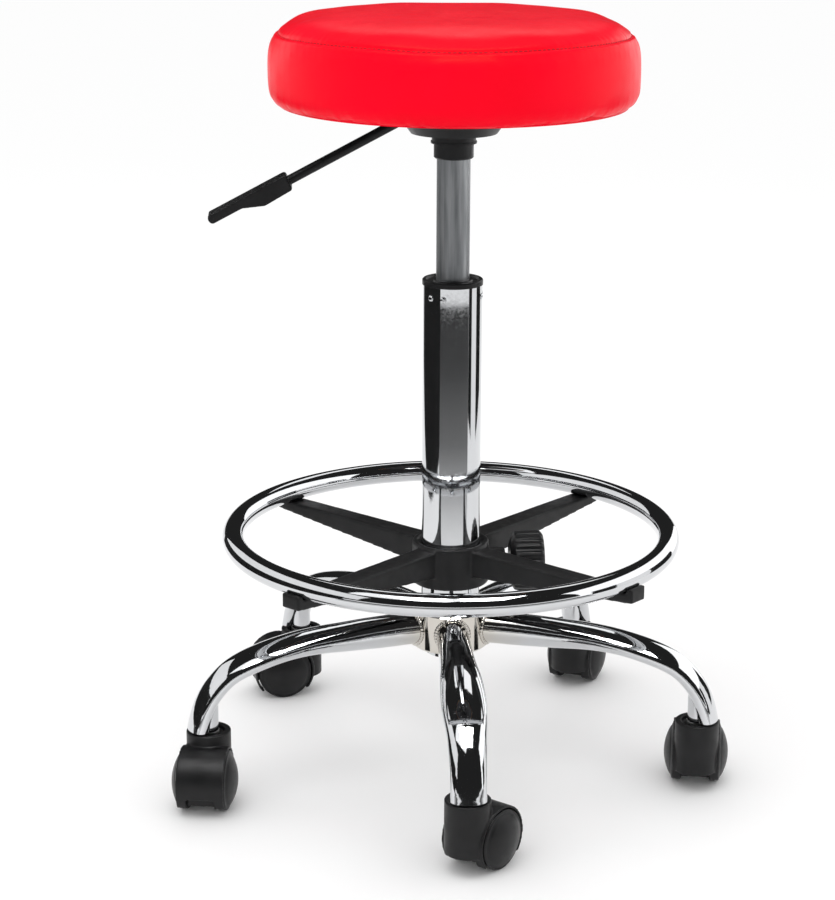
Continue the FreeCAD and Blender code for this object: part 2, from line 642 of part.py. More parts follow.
# ---------------------------------------------------------------- seat
def taper_socket():
    """The steel socket that grips the cylinder's taper, and the plastic collar under it."""
    lower = "(dims.cylinder_diameter / 2 + dims.snug)"
    upper = f"({lower} - dims.cone_narrowing)"
    head = f"{cylinder_top} - dims.socket_head_drop"
    rim = "dims.socket_diameter / 2"
    corners = [
        (lower, socket_bottom),
        (f"{rim} + dims.socket_bead", socket_bottom),
        (f"{rim} + dims.socket_bead", f"{socket_bottom} + dims.socket_bead_height"),
        (rim, f"{socket_bottom} + dims.socket_bead_height"),
        (rim, f"{socket_bottom} + dims.socket_flare_start"),
        (f"{rim} + dims.socket_flare", dish_bottom),
        (f"{rim} - dims.socket_step", dish_bottom),
        (f"{rim} - dims.socket_step", head),
        (f"{upper} + dims.cone_narrowing * dims.socket_head_drop / dims.cone_length", head),
    ]
    node(revolved("socket_body", corners), "taper_socket")
    collar_rim = "dims.collar_diameter / 2"
    collar = [
        ("dims.cylinder_diameter / 2 + dims.snug", collar_bottom),
        (f"{collar_rim} - dims.collar_edge", collar_bottom),
        (collar_rim, f"{collar_bottom} + dims.collar_edge"),
        (collar_rim, socket_bottom),
        ("dims.cylinder_diameter / 2 + dims.snug", socket_bottom),
    ]
    node(revolved("collar_body", collar), "socket_collar")


def lever_slot(name, start, height):
    """The opening above the middle that the lever and the valve pin work in."""
    outer = "(dims.lever_pivot_reach + dims.lever_slot_outer)"
    length = f"{outer} + dims.lever_slot_inner"
    return box(name, length, "dims.lever_slot_width", height, f"-{outer}", z=start)


def seat_plate():
    """The pressed plate under the seat: a square flange round a dish, with two hanging ears for the lever."""
    rim = "dims.socket_diameter / 2 - dims.socket_step + dims.snug"
    lap = "dims.dish_mouth / 2 + dims.dish_lap"
    dish = revolved(
        "dish_body",
        [
            (rim, dish_bottom),
            ("dims.dish_diameter / 2", dish_bottom),
            ("dims.dish_mouth / 2", plate_bottom),
            (lap, plate_bottom),
            (lap, plate_top),
            ("dims.dish_mouth / 2 - dims.dish_shift", plate_top),
            ("dims.dish_diameter / 2 - dims.dish_shift", f"{dish_bottom} + dims.plate_thickness"),
            (rim, f"{dish_bottom} + dims.plate_thickness"),
        ],
    )
    width = "dims.plate_width"
    flange = cut(
        "flange",
        box("flange_sheet", width, width, "dims.plate_thickness", f"-{width} / 2", z=plate_bottom),
        cylinder("flange_hole", "dims.dish_mouth + dims.dish_lap", "dims.plate_thickness", z=plate_bottom),
    )
    slot = box(
        "plate_slot",
        "dims.plate_slot_length",
        "dims.sleeve_length + 4 * dims.gap",
        "dims.dish_depth + 3 * dims.plate_thickness",
        "-dims.lever_pivot_reach - dims.plate_slot_length",
        z=f"{dish_bottom} - dims.plate_thickness",
    )
    clearance = "dims.bolt_diameter + 2 * dims.gap"
    bolt_holes = [
        cylinder(f"plate_hole_{index}", clearance, "dims.plate_thickness", x, y, plate_bottom)
        for index, (x, y) in enumerate(bolt_places())
    ]
    sheet_metal = cut("plate_pierced", fuse("plate_sheet", dish, flange), slot, *bolt_holes)
    ears = [
        box(
            f"ear_{side}",
            "dims.ear_length",
            "dims.ear_thickness",
            "dims.lever_pivot_drop + dims.ear_drop",
            "-dims.lever_pivot_reach - dims.ear_length / 2",
            f"{side} * {ear_place}",
            f"{pivot_height} - dims.ear_drop",
        )
        for side in (-1, 1)
    ]
    webs = [
        box(
            f"ear_web_{side}",
            "dims.web_length",
            "dims.ear_thickness",
            "dims.plate_thickness",
            "-dims.lever_pivot_reach - dims.web_reach",
            f"{side} * {ear_place}",
            plate_bottom,
        )
        for side in (-1, 1)
    ]
    through = "(2 * dims.sleeve_length + 4 * dims.ear_thickness)"
    pin_hole = pivot_cylinder("ear_hole", "dims.pivot_pin_diameter + 2 * dims.snug", through)
    return node(cut("plate_cut", fuse("plate_solid", sheet_metal, *ears, *webs), pin_hole), "seat_plate")


def pivot_cylinder(name, diameter, length):
    """A cylinder about the lever's pivot axis, centred on the middle of the stool."""
    start = f"-({length}) / 2"
    return cylinder(name, diameter, length, "-dims.lever_pivot_reach", start, pivot_height, ALONG_Y)


def bolt_places():
    """The expressions of X and Y of the four seat bolts."""
    half = "dims.bolt_spacing / 2"
    return [(f"{i} * {half}", f"{j} * {half}") for i in (-1, 1) for j in (-1, 1)]


def seat_fasteners():
    """The bolts from below and the tee nuts sunk into the board."""
    head_height = "dims.bolt_head_height"
    head_bottom = f"{plate_bottom} - {head_height}"
    shank_length = f"{board_top} - {plate_bottom} - dims.bolt_end_drop"
    rim_height = "dims.nut_flange_height"
    rim_bottom = f"{board_top} - {rim_height}"
    nut_bottom = f"{board_top} - dims.nut_height"
    barrel_diameter = "dims.nut_barrel_diameter"
    thread_diameter = "dims.bolt_diameter + 2 * dims.snug"
    bolts, nuts = [], []
    for index, (x, y) in enumerate(bolt_places()):
        head = cylinder(f"bolt_head_{index}", "dims.bolt_head_diameter", head_height, x, y, head_bottom)
        shank = cylinder(f"bolt_shank_{index}", "dims.bolt_diameter", shank_length, x, y, plate_bottom)
        bolts.append(fuse(f"bolt_{index}", head, shank))
        flange = cylinder(f"nut_flange_{index}", "dims.nut_flange_diameter", rim_height, x, y, rim_bottom)
        barrel = cylinder(f"nut_barrel_{index}", barrel_diameter, "dims.nut_height", x, y, nut_bottom)
        thread = cylinder(f"nut_thread_{index}", thread_diameter, "dims.board_thickness", x, y, board_bottom)
        nuts.append(cut(f"nut_{index}", fuse(f"nut_solid_{index}", flange, barrel), thread))
    node(group("bolts", bolts), "seat_bolts")
    node(group("nuts", nuts), "tee_nuts")


def seat_board():
    """The plywood board, cleared for the lever and bored for the tee nuts, and the dust cover under it."""
    width = "dims.seat_diameter - 2 * dims.seat_bottom_round"
    disc = cylinder("board_disc", width, "dims.board_thickness", z=board_bottom)
    tools = [lever_slot("board_slot", board_bottom, "dims.board_thickness")]
    barrel_hole = "dims.nut_barrel_diameter + 2 * dims.snug"
    for index, (x, y) in enumerate(bolt_places()):
        tools.append(cylinder(f"board_hole_{index}", barrel_hole, "dims.board_thickness", x, y, board_bottom))
        tools.append(
            cylinder(
                f"board_sink_{index}",
                "dims.nut_flange_diameter + 2 * dims.snug",
                "dims.nut_flange_height",
                x,
                y,
                f"{board_top} - dims.nut_flange_height",
            )
        )
    node(cut("board_cut", disc, *tools), "seat_board")
    lining = f"{width} - 2 * dims.cover_return - 2 * dims.dust_cover_margin"
    sheet_disc = cylinder("dust_disc", lining, "dims.dust_cover_thickness", z=plate_top)
    holes = [lever_slot("dust_slot", plate_top, "dims.dust_cover_thickness")]
    clearance = "dims.bolt_diameter + 2 * dims.gap"
    for index, (x, y) in enumerate(bolt_places()):
        holes.append(cylinder(f"dust_hole_{index}", clearance, "dims.dust_cover_thickness", x, y, plate_top))
    node(cut("dust_cut", sheet_disc, *holes), "dust_cover")


def cushion_side(inset):
    """Corners of the cushion's rounded side, from the bottom up, moved in by `inset`."""
    low = f"(dims.seat_bottom_round - ({inset}))"
    high = f"(dims.seat_top_round - ({inset}))"
    edge = f"(dims.seat_diameter / 2 - ({inset}))"
    return [
        ("dims.seat_diameter / 2 - dims.seat_bottom_round", f"{seat_bottom} + ({inset})", low, 1),
        (edge, f"{seat_bottom} + dims.seat_bottom_round"),
        (edge, f"{seat_top} - dims.seat_top_round", high, 1),
        ("dims.seat_diameter / 2 - dims.seat_top_round", f"{seat_top} - ({inset})"),
    ]


def reversed_side(inset):
    """The same corners from the top down, with the arcs turned over."""
    bottom, lower, upper, top = cushion_side(inset)
    return [top[:2] + (upper[2], -1), upper[:2], lower[:2] + (bottom[2], -1), bottom[:2]]


def cushion():
    """The vinyl cover, turned in under the board, and the foam that fills it."""
    turned_in = "dims.seat_diameter / 2 - dims.seat_bottom_round - dims.cover_return"
    skin = "dims.cover_thickness"
    corners = [(turned_in, seat_bottom)] + cushion_side("0")
    corners += [("0", seat_top), ("0", f"{seat_top} - {skin}")] + reversed_side(skin)
    corners += [(turned_in, f"{seat_bottom} + {skin}")]
    node(revolved("cover_body", corners), "seat_cover")
    inset = "(dims.cover_thickness + dims.slip)"
    edge, upper, top = cushion_side(inset)[1:]
    foam = [
        ("0", f"{board_top} + dims.slip"),
        ("dims.seat_diameter / 2 - dims.seat_bottom_round", f"{board_top} + dims.slip"),
        edge,
        upper,
        top,
        ("0", f"{seat_top} - {inset}"),
    ]
    node(revolved("foam_body", foam), "seat_foam")


# ---------------------------------------------------------------- lever
def lever():
    """The height lever: a bent rod on a pivot sleeve, its moulded handle and its pivot pin."""
    tilt = Rotation(Vector(0, 1, 0), -size("lever_slope")) * Rotation(UP, 180)
    level = f"({cylinder_top} + dims.valve_pin_rise + dims.gap + dims.lever_diameter / 2)"
    rise = f"({level} - {pivot_height})"
    bend = f"({rise} / sin(dims.lever_slope))"
    outer_length = f"dims.lever_reach + dims.lever_insert + {bend}"
    outer = cylinder("rod_outer", "dims.lever_diameter", outer_length, f"-{bend}", rotation=ALONG_X)
    knee = doc.addObject("Part::Sphere", "rod_knee")
    knee.setExpression("Radius", "dims.lever_diameter / 2")
    place(knee, f"-{bend}")
    inward = Rotation(Vector(0, 1, 0), -90 - size("lever_slope"))
    inner_length = "dims.lever_pivot_reach - dims.lever_end_gap"
    inner = cylinder("rod_inner", "dims.lever_diameter", inner_length, f"-{bend}", rotation=inward)
    width = "dims.sleeve_length"
    sleeve = cylinder("rod_sleeve", "dims.sleeve_diameter", width, y=f"-{width} / 2", rotation=ALONG_Y)
    pin_bore = "dims.pivot_pin_diameter + 2 * dims.slip"
    bore = cylinder("rod_bore", pin_bore, f"2 * {width}", y=f"-{width}", rotation=ALONG_Y)
    rod = cut("rod_cut", fuse("rod_union", outer, knee, inner, sleeve), bore)
    node(place(rod, "-dims.lever_pivot_reach", z=pivot_height, rotation=tilt), "lever_rod")

    half = "dims.handle_depth / 2"
    under = f"{half} - dims.paddle_thickness"
    tip_start = "dims.handle_length - dims.paddle_thickness / 3"
    profile = [
        ("0", f"-{half} + dims.handle_edge"),
        ("dims.handle_edge", f"-{half}"),
        (f"dims.handle_length * {BELLY_SHARE}", f"-{half} - dims.handle_belly"),
        (f"dims.handle_length * {NECK_SHARE}", f"-{half} + dims.handle_neck"),
        (f"dims.handle_length * {PADDLE_SHARE}", under),
        (tip_start, under, f"dims.paddle_thickness * {TIP_SHARE}", 1),
        (tip_start, half),
        ("dims.handle_edge", half),
        ("0", f"{half} - dims.handle_edge"),
    ]
    blade = padded("handle_body", profile, "dims.handle_width")
    rod_hole = "dims.lever_diameter + 2 * dims.snug"
    hole = cylinder("handle_hole", rod_hole, "dims.lever_insert + dims.gap", rotation=ALONG_X)
    handle = cut("handle_cut", blade, hole)
    arm = "dims.lever_reach"
    place(
        handle,
        f"-dims.lever_pivot_reach - {arm} * cos(dims.lever_slope)",
        z=f"{pivot_height} - {arm} * sin(dims.lever_slope)",
        rotation=tilt,
    )
    node(handle, "lever_handle")
    pin_length = f"(2 * {ear_place} + dims.ear_thickness + 2 * dims.pin_overhang)"
    node(pivot_cylinder("pivot_pin", "dims.pivot_pin_diameter", pin_length), "lever_pivot_pin")


# ---------------------------------------------------------------- foot ring
def spoke_bearings():
    """The bearings of the spokes."""
    return [size("spoke_bearing") + index * SPOKE_STEP for index in range(SPOKES)]


def foot_ring():
    """The chromed ring, drilled from below for the spoke screws."""
    bore = "dims.ring_tube - 2 * dims.ring_wall"
    tube = torus("ring_tube_solid", "dims.ring_radius", "dims.ring_tube", "dims.ring_height")
    hollow = torus("ring_hollow", "dims.ring_radius", bore, "dims.ring_height")
    shank_hole = "dims.spoke_screw_diameter + 2 * dims.snug"
    holes = []
    for index, bearing in enumerate(spoke_bearings()):
        x, y = across("dims.ring_radius", bearing)
        start = f"{ring_bottom} - dims.ring_wall"
        holes.append(cylinder(f"ring_hole_{index}", shank_hole, "dims.ring_tube / 2", x, y, start))
    node(cut("ring_cut", tube, hollow, *holes), "foot_ring")


def spoke_wedge(name, bearing, root, tip, inset, top, drop):
    """A tapering spoke from root to tip: narrower by `inset` a side, from `top` down, deeper by `drop`."""
    wedge = doc.addObject("Part::Wedge", name)
    bounds = {
        "Ymin": root,
        "Ymax": tip,
        "Xmin": f"-dims.spoke_root_width / 2 + ({inset})",
        "Xmax": f"dims.spoke_root_width / 2 - ({inset})",
        "X2min": f"-dims.spoke_tip_width / 2 + ({inset})",
        "X2max": f"dims.spoke_tip_width / 2 - ({inset})",
        "Zmin": f"-dims.spoke_root_depth - ({drop})",
        "Zmax": top,
        "Z2min": f"-dims.spoke_tip_depth - ({drop})",
        "Z2max": top,
    }
    for name, expression in bounds.items():
        wedge.setExpression(name, expression)
    return place(wedge, z=spoke_top, rotation=Rotation(UP, bearing + 180))


def clamp_cylinder(name, diameter, start, length):
    """A cylinder on the clamp's axis, which points along +X."""
    return cylinder(name, diameter, length, start, z=clamp_height, rotation=ALONG_X)


def ring_spider():
    """The moulded spider: a hub on the column, four spokes that carry the ring, and the clamp's boss."""
    bore = "dims.column_diameter + 2 * dims.gap"
    rim = "dims.hub_diameter / 2"
    top = f"({spoke_top} + dims.lip_height)"
    bottom = f"({spoke_top} - dims.hub_height)"
    hub = revolved(
        "hub_body",
        [
            ("0", bottom),
            (rim, bottom),
            (rim, f"{top} - dims.lip_edge"),
            (f"{rim} - dims.lip_edge", top),
            (f"{rim} - dims.lip_width", top),
            (f"{rim} - dims.lip_width - 2 * dims.gap", f"{top} - dims.lip_groove"),
            ("0", f"{top} - dims.lip_groove"),
        ],
    )
    outer = "dims.ring_radius + dims.ring_tube / 2 + dims.hook_thickness"
    hook_length = "2 * dims.hook_thickness"
    hook_width = "dims.spoke_tip_width"
    hollow_start = f"{rim} + dims.spoke_wall"
    hollow_end = "dims.ring_radius - dims.ring_tube"
    shank_hole = "dims.spoke_screw_diameter + 2 * dims.snug"
    head_hole = "2 * dims.spoke_screw_diameter + dims.screw_sink"
    wall = "dims.spoke_wall"
    height = "dims.hub_height"
    solids, tools = [hub], []
    for index, bearing in enumerate(spoke_bearings()):
        solids.append(spoke_wedge(f"spoke_{index}", bearing, "dims.spoke_root", outer, "0", "0", "0"))
        hook = box(f"hook_{index}", hook_length, hook_width, "dims.hook_height + dims.hook_lap")
        x, y = across(f"{outer} - {hook_length}", bearing)
        side_x, side_y = across(f"{hook_width} / 2", bearing + 90)
        hook_z = f"{spoke_top} - dims.hook_lap"
        solids.append(place(hook, f"{x} - ({side_x})", f"{y} - ({side_y})", hook_z, pointing(bearing)))
        hollow = spoke_wedge(f"hollow_{index}", bearing, hollow_start, hollow_end, wall, f"-{wall}", wall)
        tools.append(hollow)
        x, y = across("dims.ring_radius", bearing)
        hole_z = f"{spoke_top} - {height}"
        tools.append(cylinder(f"spoke_hole_{index}", shank_hole, f"2 * {height}", x, y, hole_z))
        sink_z = f"{screw_seat} - {height}"
        tools.append(cylinder(f"spoke_sink_{index}", head_hole, height, x, y, sink_z))
    boss_length = "dims.boss_reach - dims.spoke_root"
    solids.append(clamp_cylinder("boss", "dims.boss_diameter", "dims.spoke_root", boss_length))
    tools.append(cylinder("spider_bore", bore, f"3 * {height}", z=f"{bottom} - {height}"))
    tools.append(torus("ring_seat", "dims.ring_radius", "dims.ring_tube + 2 * dims.snug", "dims.ring_height"))
    pad_hole = "dims.pad_diameter + 2 * dims.slip"
    pad_hole_start = "(dims.column_diameter / 2 - dims.column_wall)"
    insert_start = "dims.boss_reach - dims.insert_length"
    tools.append(clamp_cylinder("pad_hole", pad_hole, pad_hole_start, f"{insert_start} - {pad_hole_start}"))
    insert_hole = "dims.insert_diameter + 2 * dims.snug"
    tools.append(clamp_cylinder("insert_hole", insert_hole, insert_start, "2 * dims.insert_length"))
    node(cut("spider_cut", fuse("spider_union", *solids), *tools), "ring_spider")


def spider_screws():
    """The screws that hold the ring on the spokes, from below."""
    head_diameter = "2 * dims.spoke_screw_diameter"
    head_height = "dims.screw_head_height"
    head_bottom = f"{screw_seat} - {head_height}"
    shank_length = "dims.spoke_tip_depth + dims.screw_bite"
    screws = []
    for index, bearing in enumerate(spoke_bearings()):
        x, y = across("dims.ring_radius", bearing)
        head = cylinder(f"screw_head_{index}", head_diameter, head_height, x, y, head_bottom)
        shank = cylinder(f"screw_shank_{index}", "dims.spoke_screw_diameter", shank_length, x, y, screw_seat)
        screws.append(fuse(f"screw_{index}", head, shank))
    node(group("screws", screws), "spider_screws")


def clamp():
    """The height clamp: a brass insert in the boss, a fluted knob on a stud and the pad it presses."""
    insert_start = "dims.boss_reach - dims.insert_length"
    shell = clamp_cylinder("insert_shell", "dims.insert_diameter", insert_start, "dims.insert_length")
    thread_bore = "dims.stud_diameter + 2 * dims.slip"
    thread = clamp_cylinder("insert_thread", thread_bore, insert_start, "2 * dims.insert_length")
    node(cut("insert_cut", shell, thread), "clamp_insert")

    pad_start = "dims.column_diameter / 2 + dims.slip"
    node(clamp_cylinder("pad", "dims.pad_diameter", pad_start, "dims.pad_length"), "clamp_pad")
    stud_start = f"({pad_start} + dims.pad_length + dims.clamp_travel + dims.gap)"
    stud_end = "(dims.knob_reach + dims.stud_in_knob)"
    node(clamp_cylinder("stud", "dims.stud_diameter", stud_start, f"{stud_end} - {stud_start}"), "clamp_stud")

    rim = "dims.knob_diameter / 2"
    edge = "dims.knob_edge"
    body = revolved(
        "knob_body",
        [
            ("0", "0"),
            (f"{rim} * {KNOB_FACE_SHARE}", "0"),
            (f"{rim} - dims.knob_shoulder_inset", "dims.knob_bevel"),
            (rim, "dims.knob_bevel + dims.knob_shoulder"),
            (rim, f"dims.knob_length - {edge}", edge, 1),
            (f"{rim} - {edge}", "dims.knob_length"),
            ("0", "dims.knob_length"),
        ],
    )
    flutes = []
    for index in range(FLUTES):
        x, y = across(f"{rim} + dims.flute_offset", index * 360 / FLUTES)
        flutes.append(
            cylinder(f"flute_{index}", "dims.flute_diameter", "dims.knob_length", x, y, "dims.knob_bevel")
        )
    socket = cylinder("knob_socket", "dims.stud_diameter + 2 * dims.snug", f"{stud_end} - dims.knob_reach")
    knob = cut("knob_cut", body, socket, *flutes)
    node(place(knob, "dims.knob_reach", z=clamp_height, rotation=ALONG_X), "clamp_knob")


# ---------------------------------------------------------------- base
def base_hub():
    """The hub that the legs are welded to, bored to the column's taper."""
    taper_bottom = "(dims.column_bottom + dims.column_taper_start)"
    taper_top = f"({taper_bottom} + dims.column_taper_length)"
    slope = "((dims.column_diameter - dims.column_foot_diameter) / 2 / dims.column_taper_length)"
    low = f"(dims.column_foot_diameter / 2 + dims.snug + ({base_hub_bottom} - {taper_bottom}) * {slope})"
    rim = "dims.base_hub_diameter / 2"
    corners = [
        (low, base_hub_bottom),
        (f"{rim} - dims.base_hub_edge", base_hub_bottom),
        (rim, f"{base_hub_bottom} + dims.base_hub_edge"),
        (rim, f"{base_hub_top} - dims.base_hub_edge"),
        (f"{rim} - dims.base_hub_edge", base_hub_top),
        ("dims.column_diameter / 2 + dims.snug", base_hub_top),
        ("dims.column_diameter / 2 + dims.snug", taper_top),
    ]
    node(revolved("base_hub_body", corners), "base_hub")


def leg_station(travel):
    """The point at a distance along a leg's centreline: its reach, its height and the slope there."""
    start, height = size("base_hub_diameter") / 4, size("leg_height")
    bends = (
        (size("leg_first_radius"), math.radians(size("leg_first_angle"))),
        (size("leg_second_radius"), math.radians(size("leg_second_angle"))),
    )
    straight = min(travel, size("leg_straight") - start)
    reach, level, slope, rest = start + straight, height, 0.0, travel - straight
    for radius, angle in bends:
        turned = min(rest / radius, angle)
        reach += radius * (math.sin(slope + turned) - math.sin(slope))
        level -= radius * (math.cos(slope) - math.cos(slope + turned))
        slope += turned
        rest -= turned * radius
    return reach + rest * math.cos(slope), level - rest * math.sin(slope), slope


def leg_end_height():
    """The height at which a leg is cut off, just above its caster."""
    return size("caster_height") + size("leg_end_gap")


def leg_travel():
    """The length of a leg's centreline, run on below the leg's cut end."""
    bent = 0
    for bend in ("first", "second"):
        bent += size(f"leg_{bend}_radius") * math.radians(size(f"leg_{bend}_angle"))
    travel = size("leg_straight") - size("base_hub_diameter") / 4 + bent
    level, slope = leg_station(travel)[1:]
    rest = max(level - leg_end_height(), 0) / math.sin(slope)
    return travel + rest + size("leg_end_thickness") / 2


def leg_section(reach, inset):
    """Half width and half thickness of a leg at a distance from the axis, moved in by `inset`."""
    first_bend = size("leg_first_radius") * math.sin(math.radians(size("leg_first_angle")))
    widest = size("leg_straight") + first_bend * WIDEST_SHARE
    end = size("stem_radius") + size("leg_end_past")
    steps = (
        (size("leg_straight") * ROUND_SHARE, size("leg_tube"), size("leg_tube") - OUT_OF_ROUND),
        (widest, size("leg_wide"), size("leg_thin")),
        (end, size("leg_end_width"), size("leg_end_thickness")),
    )
    before = max([step for step in steps if step[0] <= reach], default=steps[0])
    after = min([step for step in steps if step[0] > reach], default=steps[-1])
    share = (reach - before[0]) / (after[0] - before[0]) if after[0] > before[0] else 0
    share = max(0, min(share, 1))
    eased = share * share * (3 - 2 * share)
    return [(a + (b - a) * eased) / 2 - inset for a, b in zip(before[1:], after[1:])]


def leg_loft(inset):
    """A leg's solid along its path, moved in by `inset` all round: it points along local +X."""
    side = Vector(0, 1, 0)
    travel = leg_travel()
    wires = []
    for index in range(LEG_SECTIONS + 1):
        reach, level, slope = leg_station(travel * index / LEG_SECTIONS)
        wide, thin = leg_section(reach, inset)
        centre = Vector(reach, 0, level)
        thinner = Vector(math.sin(slope), 0, math.cos(slope)) * thin
        ellipse = Part.Ellipse(centre + side * wide, centre + thinner, centre)
        wires.append(Part.Wire(ellipse.toShape()))
    return Part.makeLoft(wires, True, False)


def slab(bottom, thickness):
    """A wide level slab, used to trim the legs."""
    reach = 2 * size("stem_radius")
    return Part.makeBox(2 * reach, 2 * reach, thickness, Vector(-reach, -reach, bottom))


def legs():
    """The five legs: hollow bent tubes that flatten outwards, closed below and notched for the sockets."""
    end_height = leg_end_height()
    depth = 2 * (size("leg_height") - end_height)
    below = slab(end_height - depth, depth)
    below_inside = slab(end_height - depth, depth + size("leg_wall"))
    hub = Part.makeCylinder(size("base_hub_diameter") / 2, depth, Vector(0, 0, end_height))
    stem = Vector(size("stem_radius"), 0, size("caster_height"))
    notch = Part.makeCylinder(size("socket_tube_diameter") / 2, size("socket_tube_length"), stem)
    hollow = leg_loft(size("leg_wall")).cut(below_inside)
    shape = leg_loft(0).cut(below).cut(hollow).cut(hub).cut(notch)
    for index in range(LEGS):
        leg = doc.addObject("Part::Feature", f"leg_body_{index + 1}")
        leg.Shape = shape
        leg.Placement = Placement(Vector(), pointing(index * LEG_STEP))
        node(leg, f"leg_{index + 1}")


def stem_sockets():
    """The tubes welded into the legs' ends, which take the caster stems."""
    length = "dims.socket_tube_length"
    bore_depth = f"{length} - dims.socket_tube_cap"
    sockets = []
    for index in range(LEGS):
        x, y = across("dims.stem_radius", f"{index * LEG_STEP}")
        start = "dims.caster_height"
        shell = cylinder(f"socket_shell_{index}", "dims.socket_tube_diameter", length, x, y, start)
        bore = cylinder(f"socket_bore_{index}", "dims.socket_tube_bore", bore_depth, x, y, start)
        sockets.append(cut(f"socket_{index}", shell, bore))
    node(group("sockets", sockets), "caster_sockets")


# ---------------------------------------------------------------- casters
def stems():
    """The caster stems, fixed in the legs, each with the ring that grips it there."""
    radius = "dims.stem_diameter / 2"
    groove = "(dims.caster_height + dims.stem_groove_rise)"
    groove_top = f"{groove} + dims.stem_groove_width"
    groove_radius = f"{radius} - dims.stem_groove_depth"
    flange = "(dims.caster_height - dims.hood_recess_depth + dims.gap)"
    flange_rim = f"{radius} + dims.stem_flange"
    foot = "dims.caster_height - dims.stem_depth"
    grip_inner = f"{groove_radius} + dims.snug"
    grip_outer = "dims.socket_tube_bore / 2 - dims.snug"
    grip_bottom = f"{groove} + dims.grip_play"
    grip_top = f"{groove_top} - dims.grip_play"
    pins, rings = [], []
    for index in range(LEGS):
        x, y = across("dims.stem_radius", f"{index * LEG_STEP}")
        stem = revolved(
            f"stem_{index}",
            [
                ("0", foot),
                (radius, foot),
                (radius, flange),
                (flange_rim, flange),
                (flange_rim, "dims.caster_height - dims.gap"),
                (radius, "dims.caster_height - dims.gap"),
                (radius, groove),
                (groove_radius, groove),
                (groove_radius, groove_top),
                (radius, groove_top),
                (radius, f"{groove} + dims.stem_head"),
                ("0", f"{groove} + dims.stem_head"),
            ],
        )
        pins.append(place(stem, x, y))
        section = ring_outline(grip_inner, grip_outer, grip_bottom, grip_top)
        rings.append(place(revolved(f"grip_{index}", section), x, y))
    node(group("stem_group", pins + rings), "caster_stems")


def well(name, sign, diameter, start, width):
    """A cylinder about the axle, from `start` outwards on one side of the caster."""
    begin = f"({start})" if sign > 0 else f"(-({start}) - ({width}))"
    return cylinder(name, diameter, width, "dims.caster_trail", begin, "dims.wheel_diameter / 2", ALONG_Y)


def hood(number):
    """A caster's hood: a collar on the stem, a web between the wheels and a fender over their treads."""
    fender = cylinder(
        f"fender_{number}",
        "2 * dims.hood_radius",
        "dims.hood_width",
        "dims.caster_trail",
        "-dims.hood_width / 2",
        "dims.wheel_diameter / 2",
        ALONG_Y,
    )
    collar_diameter = "dims.hood_collar_diameter"
    collar_height = "dims.caster_height - dims.hood_notch"
    collar = cylinder(f"hood_collar_{number}", collar_diameter, collar_height, z="dims.hood_notch")
    side = "(dims.hood_width - dims.hood_web) / 2 + dims.wheel_edge"
    opening = "dims.wheel_diameter + 6 * dims.gap"
    tools = [well(f"well_{number}_{sign}", sign, opening, "dims.hood_web / 2", side) for sign in (-1, 1)]
    reach = "2 * dims.hood_radius"
    tools.append(
        cut(
            f"notch_{number}",
            box(f"notch_box_{number}", f"2 * {reach}", "dims.hood_web", "dims.hood_notch", f"-{reach}"),
            cylinder(
                f"notch_core_{number}",
                "dims.wheel_diameter - dims.wheel_edge",
                "dims.hood_width",
                "dims.caster_trail",
                "-dims.hood_width / 2",
                "dims.wheel_diameter / 2",
                ALONG_Y,
            ),
        )
    )
    width = "2 * dims.hood_width"
    depth = "dims.hood_width + dims.hood_bottom"
    tools.append(box(f"trim_{number}", f"3 * {reach}", width, depth, f"-{reach}", z="-dims.hood_width"))
    tools.append(
        cylinder(
            f"recess_{number}",
            "dims.hood_recess_diameter",
            "2 * dims.hood_recess_depth",
            z="dims.caster_height - dims.hood_recess_depth",
        )
    )
    bore_bottom = "dims.caster_height - dims.stem_depth - dims.gap"
    stem_bore = "dims.stem_diameter + 2 * dims.slip"
    tools.append(cylinder(f"stem_bore_{number}", stem_bore, "2 * dims.stem_depth", z=bore_bottom))
    tools.append(
        cylinder(
            f"axle_bore_{number}",
            "dims.axle_diameter + 2 * dims.snug",
            "dims.hood_width",
            "dims.caster_trail",
            "-dims.hood_width / 2",
            "dims.wheel_diameter / 2",
            ALONG_Y,
        )
    )
    return cut(f"hood_cut_{number}", fuse(f"hood_solid_{number}", fender, collar), *tools)


def wheel(number, side):
    """A wheel with a rounded tread and a domed cap, turned about local Z and then laid along the axle."""
    bore = "dims.axle_diameter / 2 + dims.slip"
    rim = "dims.wheel_diameter / 2"
    tread = "dims.wheel_tread"
    cap = "(dims.wheel_tread + dims.wheel_dome)"
    cap_rim = f"({rim} - dims.wheel_shoulder)"
    cap_radius = f"(({cap_rim} ^ 2 + dims.wheel_dome ^ 2) / (2 * dims.wheel_dome))"
    return revolved(
        f"wheel_{side}_{number}",
        [
            (bore, "0"),
            (f"{rim} - dims.wheel_edge", "0"),
            (rim, "dims.wheel_edge"),
            (rim, f"{tread} - dims.wheel_shoulder"),
            (cap_rim, tread, cap_radius, 1),
            ("0", cap),
            ("0", f"{cap} - dims.wheel_cap"),
            (bore, f"{cap} - dims.wheel_cap"),
        ],
    )


